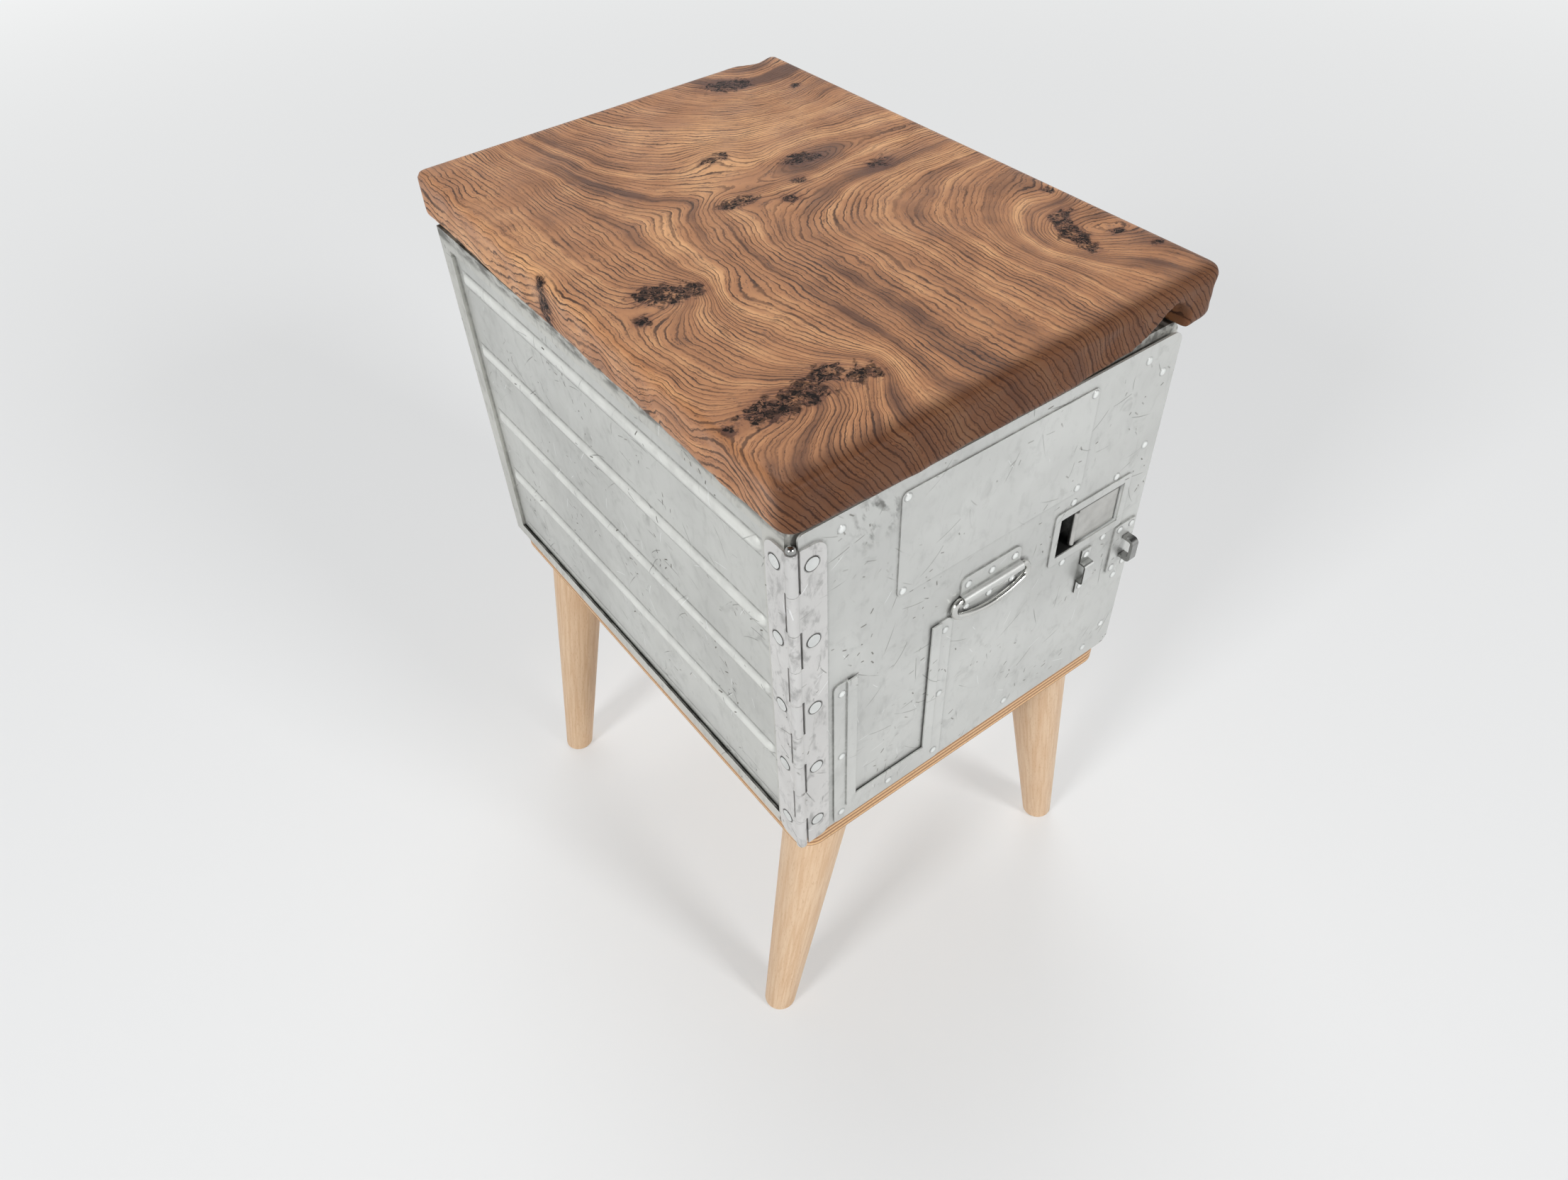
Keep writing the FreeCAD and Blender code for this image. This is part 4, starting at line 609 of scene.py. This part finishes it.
def aluminium(name, tone, facing, crevice_dirt_and_shade=0.5, marks=0.6, rough=0.42, soften=0.3, reach=2.0,
              rubbed=0.15, rims=None, crest_highlights=None):
    """Old bare aluminium sheet: cloudy oxide, smudges, scratches and nicks, dirt and painted shade in
    corners.
    """
    metal = Finish(name)
    broad, patchy, busy = metal.clouds(85, 3), metal.clouds(15, 5, warp=0.8), metal.clouds(38, 3)
    colour = metal.tint(metal.ease(broad, 0.32, 0.68), shade(tone, 0.92), shade(tone, 1.06))
    smudge = metal.times(metal.ease(patchy, 0.54, 0.74), metal.ease(busy, 0.42, 0.62))
    colour = metal.tint(metal.times(smudge, 0.6 * marks), colour, shade(tone, 0.62))
    rub = metal.clouds(7, 6, stretch=(1, 1, 0.5), warp=0.5, rough=0.65)
    colour = metal.tint(metal.ease(rub, 0.5, 0.7, 0.0, rubbed), colour, shade(tone, 0.42))
    # Painted highlight: the beads' crests are made lighter than the sheet.
    if crest_highlights is not None:
        colour = metal.tint(crest_highlights(metal), colour, shade(tone, 1.4))
    scratch, nick, gleam = sheet_marks(metal, facing, busy)
    colour = metal.tint(metal.times(scratch, 0.7 * marks), colour, SCRATCH)
    colour = metal.tint(metal.times(gleam, 0.5 * marks), colour, GLEAM)
    colour = metal.tint(metal.times(nick, marks), colour, NICK)

    # Painted shade in corners and creases, where other surfaces lie within the reach, mixed with some dirt:
    # it darkens the colour there.
    corner = metal.ease(metal.crevice(reach), 0.97, 0.74)
    corner = metal.times(corner, metal.ease(metal.clouds(5, 4), 0.35, 0.6, 0.45, 1))
    dirt_and_shade = metal.times(corner, crevice_dirt_and_shade)
    # Marks that the rims give: dirt round rivets, a rubbed smear, dark paint and streaks, and dirt with
    # painted crease shade along the beads.
    if rims is not None:
        dirt_and_shade = metal.most(dirt_and_shade, rims(metal))
    metal.set("Base Color", metal.tint(dirt_and_shade, colour, SHEET_DIRT_AND_SHADE))
    metal.set("Metallic", metal.ease(dirt_and_shade, 0.1, 0.7, 0.55, 0.05))
    dull = metal.ease(patchy, 0.35, 0.75, rough - 0.06, rough + 0.1)
    metal.set("Roughness", metal.maths("MULTIPLY_ADD", dirt_and_shade, 0.3, dull))
    dents = metal.relief(metal.clouds(55, 2), depth=1.4, strength=0.4, under=metal.softened(soften))
    cut = metal.minus(1, metal.most(scratch, nick))
    metal.set("Normal", metal.relief(cut, depth=0.12, strength=0.5, under=dents))
    return metal.material


def patchy_dirt_and_shade(metal, share):
    """Dirt, and the painted crease shade along the beads, coming and going along their length."""
    return metal.times(share, metal.ease(metal.clouds(6, 3), 0.3, 0.6, 0.3, 0.75))


def rivet_rims(axis):
    """Dirt in a thin ring round each flush rivet of the hinge leaf that runs along the given axis."""
    def rims(metal):
        up = metal.maths("PINGPONG", metal.off("Z", HINGE_RIVETS["first"]), HINGE_RIVETS["step"] / 2)
        radius = metal.radius(up, metal.off(axis, HINGE_RIVETS["inset"]))
        ring = metal.ease(metal.apart(radius, HINGE_RIVETS["rim"]), 0.9, 0.3)
        return patchy_dirt_and_shade(metal, ring)
    return rims


def door_smear(metal):
    """A dark rubbed smear on the door beside the hinge's upper end."""
    radius = metal.radius(metal.off("Z", SMEAR["z"]), metal.off("X", SMEAR["x"]))
    rubbed = metal.ease(metal.clouds(6, 5, stretch=(1, 1, 0.4), angle=(0, 25, 0)), 0.48, 0.66)
    return patchy_dirt_and_shade(metal, metal.times(metal.ease(radius, SMEAR["reach"], SMEAR["full"]), rubbed))


def bead_run(metal):
    """1 along the beads' length, 0 before and behind them."""
    starts = metal.ease(metal.off("Y", BEADS["front"]), -2, 2)
    return metal.times(starts, metal.ease(metal.off("Y", BEADS["rear"]), 2, -2))


def bead_edge_dirt_and_shade(metal):
    """Dirt and painted crease shade in dark lines along both edges of the beads pressed into a side panel."""
    up = metal.maths("PINGPONG", metal.off("Z", BEADS["first"]), BEADS["step"] / 2)
    edge = metal.times(metal.ease(metal.apart(up, BEADS["half"]), 1.1, 0.2), bead_run(metal))
    return patchy_dirt_and_shade(metal, metal.times(edge, 0.65))


def bead_crest_highlights(metal):
    """Painted highlights on the beads' crests, a little above the middle."""
    up = metal.maths("PINGPONG", metal.off("Z", BEADS["first"] + BEADS["crest"]), BEADS["step"] / 2)
    crest = metal.times(metal.ease(up, 4.5, 1.5), bead_run(metal))
    return metal.times(crest, metal.ease(metal.clouds(14, 3), 0.3, 0.6, 0.5, 0.9))


def rail_darkening(metal):
    """Dark paint on faces that look up, and streaks below the box's top edge."""
    worn = metal.clouds(5, 5, stretch=(1, 0.3, 1))
    paint = metal.times(metal.ease(metal.normal()["Z"], 0.5, 0.9), metal.ease(worn, 0.4, 0.62, 1.0, 0.6))
    rim = metal.ease(metal.off("Z", BOX_HEIGHT), *RAIL_STREAKS)
    return metal.most(paint, metal.times(rim, metal.ease(worn, 0.4, 0.62, 0.75, 0.1)))


def dome_rim_shade(metal):
    """Painted shade round the foot of a dome that faces the door's way."""
    return metal.ease(metal.maths("ABSOLUTE", metal.normal()["Y"]), 0.93, 0.75)


def paddle_top_shadow(metal):
    """Painted shadow along the paddle's upper edge, behind the bezel's rim."""
    return metal.ease(metal.off("Z", LATCH_HEIGHT), *PADDLE_SHADOW)


def strap_flank_shade(metal):
    """Painted shade on the flank of the strap that faces the hinge."""
    return metal.ease(metal.normal()["X"], -0.4, -0.8)


def steel(name, tone, rough, dark=0.6, metallic=1.0, rims=None):
    """Bright steel with fine handling marks, dirt and painted shade in corners, and painted shade where the
    rims say.
    """
    metal = Finish(name, metallic=metallic)
    worn = metal.clouds(14, 5)
    colour = metal.tint(metal.ease(worn, 0.35, 0.7), tone, shade(tone, 0.84))
    # Painted shade in corners, mixed with some dirt, and the rims' painted shade darken the colour.
    dirt_and_shade = metal.times(metal.ease(metal.crevice(1.8), 0.85, 0.3), dark)
    if rims is not None:
        dirt_and_shade = metal.most(dirt_and_shade, metal.times(rims(metal), 0.85))
    metal.set("Base Color", metal.tint(dirt_and_shade, colour, STEEL_DIRT_AND_SHADE))
    metal.set("Roughness", metal.ease(worn, 0.3, 0.75, rough, rough + 0.16))
    metal.set("Normal", metal.relief(metal.clouds(1.5, 3), depth=0.03, strength=0.4))
    return metal.material


def latch_shell():
    """The latch's dish: painted black as shade in the finger hole, painted pale as if lit under the paddle's
    far edges.
    """
    shell = Finish("latch_shell", metallic=0.4)
    worn = shell.clouds(9, 4)
    # Painted shade in the finger hole, and painted light under the paddle's far edges.
    near = shell.tint(worn, rgb(34, 34, 33), rgb(58, 58, 56))
    far = shell.tint(worn, rgb(206, 208, 206), rgb(236, 238, 236))
    shell.set("Base Color", shell.tint(shell.ease(shell.off("X"), *DISH_PAINTED_LIGHT), near, far))
    shell.set("Roughness", shell.ease(worn, 0.3, 0.7, 0.35, 0.55))
    shell.set("Normal", shell.relief(shell.clouds(2, 3), depth=0.05, strength=0.4))
    return shell.material


def speckled_black():
    """Black coat with pale rubbed specks."""
    coat = Finish("speckled_black")
    speck = coat.ease(coat.cells(3.2)["Distance"], 0.36, 0.16)
    speck = coat.times(speck, coat.ease(coat.clouds(12, 3), 0.4, 0.55))
    coat.set("Base Color", coat.tint(speck, rgb(38, 38, 38), rgb(160, 162, 160)))
    coat.set("Roughness", coat.ease(coat.clouds(8, 3), 0.3, 0.7, 0.45, 0.65))
    coat.set("Normal", coat.relief(coat.clouds(0.8, 3), depth=0.1, strength=0.5))
    return coat.material


def dress(material, *names):
    """Gives a finish to CAD nodes."""
    for name in names:
        mesh = nodes[name].data
        mesh.materials.clear()
        mesh.materials.append(material)


def finish_box():
    """The side panels, the rails and posts, and the black top panel."""
    side = aluminium("side_aluminium", rgb(200, 201, 197), facing="X", crevice_dirt_and_shade=0.3, marks=1.0,
                     rims=bead_edge_dirt_and_shade, crest_highlights=bead_crest_highlights)
    trim = aluminium("rail_aluminium", rgb(201, 201, 195), facing="X", crevice_dirt_and_shade=0.45, marks=0.9, rubbed=0.35,
                     rims=rail_darkening)
    dress(side, "side_panel_left", "side_panel_right")
    dress(trim, "mouth_frame", "top_rail_left", "top_rail_right", "top_rail_rear", "bottom_rail_left",
          "bottom_rail_right", "bottom_rail_rear", "rear_post_left", "rear_post_right")
    dress(speckled_black(), "top_panel")


def finish_door():
    """The door's sheets and plates, and the panels of the box that share their finish."""
    door = aluminium("door_aluminium", rgb(204, 205, 202), facing="Y", crevice_dirt_and_shade=0.45, marks=0.8, reach=3.0,
                     rims=door_smear)
    plate = aluminium("plate_aluminium", rgb(207, 208, 205), facing="Y", crevice_dirt_and_shade=0.5, soften=0.4)
    inner = aluminium("inner_aluminium", rgb(216, 218, 216), facing="Y", crevice_dirt_and_shade=0.3, marks=0.3)
    dress(door, "door_skin")
    dress(plate, "label_plate", "card_holder", "handle_plate", "latch_bezel", "staple_plate", "back_panel")
    dress(inner, "door_pan", "bottom_panel", "latch_guide")
    dress(latch_shell(), "latch_dish")


def finish_hinge():
    """The hinge's two leaves, rubbed more than the other sheets."""
    leaf = {"tone": rgb(215, 214, 212), "crevice_dirt_and_shade": 0.12, "marks": 1.2, "rough": 0.36, "rubbed": 0.6}
    dress(aluminium("hinge_door_aluminium", facing="Y", rims=rivet_rims("X"), **leaf), "hinge_door_leaf")
    dress(aluminium("hinge_body_aluminium", facing="X", rims=rivet_rims("Y"), **leaf), "hinge_body_leaf")


def finish_hardware():
    """Rivets, pins, handle, latch, clip, staple, screws and bolts."""
    dome = steel("dome_rivet_aluminium", rgb(236, 238, 236), rough=0.26, dark=0.85, metallic=0.4,
                 rims=dome_rim_shade)
    flush = steel("flush_rivet_aluminium", rgb(222, 224, 222), rough=0.26, metallic=0.5)
    bright = steel("bright_steel", rgb(206, 206, 202), rough=0.14, dark=0.8)
    clip = steel("clip_steel", rgb(216, 217, 214), rough=0.22, dark=0.2, rims=strap_flank_shade)
    staple = steel("staple_steel", rgb(160, 160, 158), rough=0.12, dark=0.9)
    latch = steel("latch_steel", rgb(204, 203, 199), rough=0.3, dark=0.8, rims=paddle_top_shadow)
    zinc = steel("zinc_steel", rgb(190, 186, 172), rough=0.35)
    dress(dome, "door_rivets", "label_rivets", "card_holder_rivets", "handle_rivets", "latch_rivets",
          "seal_clip_rivets", "staple_rivets")
    dress(flush, "hinge_body_rivets", "hinge_door_rivets")
    dress(bright, "handle_bail", "latch_pin", "latch_spring")
    dress(clip, "seal_clip")
    dress(staple, "staple_loop", "hinge_pin")
    dress(latch, "latch_paddle", "latch_bolt")
    dress(zinc, "slab_screws", "base_screws", "leg_bolts", "leg_inserts")


def finish_base():
    """The base board and the legs."""
    dress(plywood(), "base_board")
    dress(leg_beech("leg_beech_left", -LEG_LEAN), "leg_front_left", "leg_rear_left")
    dress(leg_beech("leg_beech_right", LEG_LEAN), "leg_front_right", "leg_rear_right")


# Studio. The floor's size, the lamps' places and sizes, and the camera's place are in metres.

FLOOR_SIZE = 40
FLOOR_COLOUR = rgb(234, 235, 236)
GLOW_NEAR, GLOW_FAR = rgb(245, 246, 246), rgb(255, 255, 255)

# The floor's glow grows from the first share to the second, and turns whiter, between these distances from
# the middle of the table, in millimetres.
GLOW_SHARE = (0.4, 1.0)
GLOW_GROWS = (700, 4000)
GLOW_WHITENS = (2500, 6000)

# Each lamp's place, width and watts. All of them point at one spot on the table.
LAMPS = {
    "left_lamp": ((-4.4, -1.0, 2.9), 1.2, 134),
    "front_lamp": ((1.0, -4.4, 2.9), 1.2, 126),
    "top_lamp": ((0.8, 1.6, 5.0), 2.4, 88),
}
LAMPS_AIM = Vector((0, 0, 0.35))

# The photo's viewpoint and its turns about x, y and z, and a wide lens with the width of its sensor.
CAMERA_PLACE = (-0.38490, -0.54072, 0.93358)
CAMERA_TURN = (44.474299, 1.876044, -36.930389)
CAMERA_LENS = 25.715
CAMERA_SENSOR = 36


def lay_floor():
    """A wide pale floor that keeps a soft part of the table's shadow and glows towards its far end."""
    bpy.ops.object.select_all(action="DESELECT")
    bpy.ops.mesh.primitive_plane_add(size=FLOOR_SIZE)
    floor = bpy.context.object
    floor.name = "floor"
    paint = Finish("floor_paint", roughness=0.8)
    paint.set("Base Color", FLOOR_COLOUR)
    away = paint.add("VectorMath", operation="LENGTH")
    paint.feed(away.inputs[0], paint.place)
    away = away.outputs["Value"]
    glow, mix = paint.add("Emission"), paint.add("MixShader")
    paint.feed(glow.inputs["Color"], paint.tint(paint.ease(away, *GLOW_WHITENS), GLOW_NEAR, GLOW_FAR))
    share = paint.ease(away, *GLOW_GROWS, *GLOW_SHARE)
    paint.feed(mix.inputs[0], paint.times(paint.looked_at(), share))
    paint.feed(mix.inputs[1], paint.shader.outputs["BSDF"])
    paint.feed(mix.inputs[2], glow.outputs["Emission"])
    paint.feed(paint.tree.nodes["Material Output"].inputs["Surface"], mix.outputs["Shader"])
    floor.data.materials.append(paint.material)


def hang(name, data, place):
    """Puts a lamp or the camera in the scene."""
    holder = bpy.data.objects.new(name, data)
    bpy.context.scene.collection.objects.link(holder)
    holder.location = place
    return holder


def light_studio():
    """A room pale round the horizon and dim overhead, with wide lamps from the left, the front and above."""
    bpy.context.scene.world = bpy.data.worlds.new("studio")
    studio = Nodes(bpy.context.scene.world)
    up = studio.parts(studio.add("TexCoord").outputs["Generated"])["Z"]
    walls = studio.ease(up, 0.25, 0.75, 1.0, 0.1)
    lit = studio.maths("MULTIPLY_ADD", studio.looked_at(), 0.6, 0.4)
    background = studio.tree.nodes["Background"].inputs
    studio.feed(background["Color"], (1.0, 1.0, 1.0, 1.0))
    studio.feed(background["Strength"], studio.times(walls, lit))
    for name, (place, width, watts) in LAMPS.items():
        lamp = bpy.data.lights.new(name, "AREA")
        lamp.energy = watts
        lamp.size = width
        holder = hang(name, lamp, place)
        holder.rotation_euler = (LAMPS_AIM - holder.location).to_track_quat("-Z", "Y").to_euler()


def set_camera():
    """Stands at the photo's viewpoint, looking down at the hinge corner."""
    camera = bpy.data.cameras.new("camera")
    camera.sensor_fit = "HORIZONTAL"
    camera.sensor_width = CAMERA_SENSOR
    camera.lens = CAMERA_LENS
    camera.clip_start, camera.clip_end = 0.01, 50
    holder = hang("camera", camera, CAMERA_PLACE)
    holder.rotation_euler = [radians(angle) for angle in CAMERA_TURN]
    bpy.context.scene.camera = holder


bpy.context.scene.view_settings.view_transform = "Standard"
finish_box()
finish_door()
finish_hinge()
finish_hardware()
finish_base()
model_spring()
model_slab()
lay_floor()
light_studio()
set_camera()
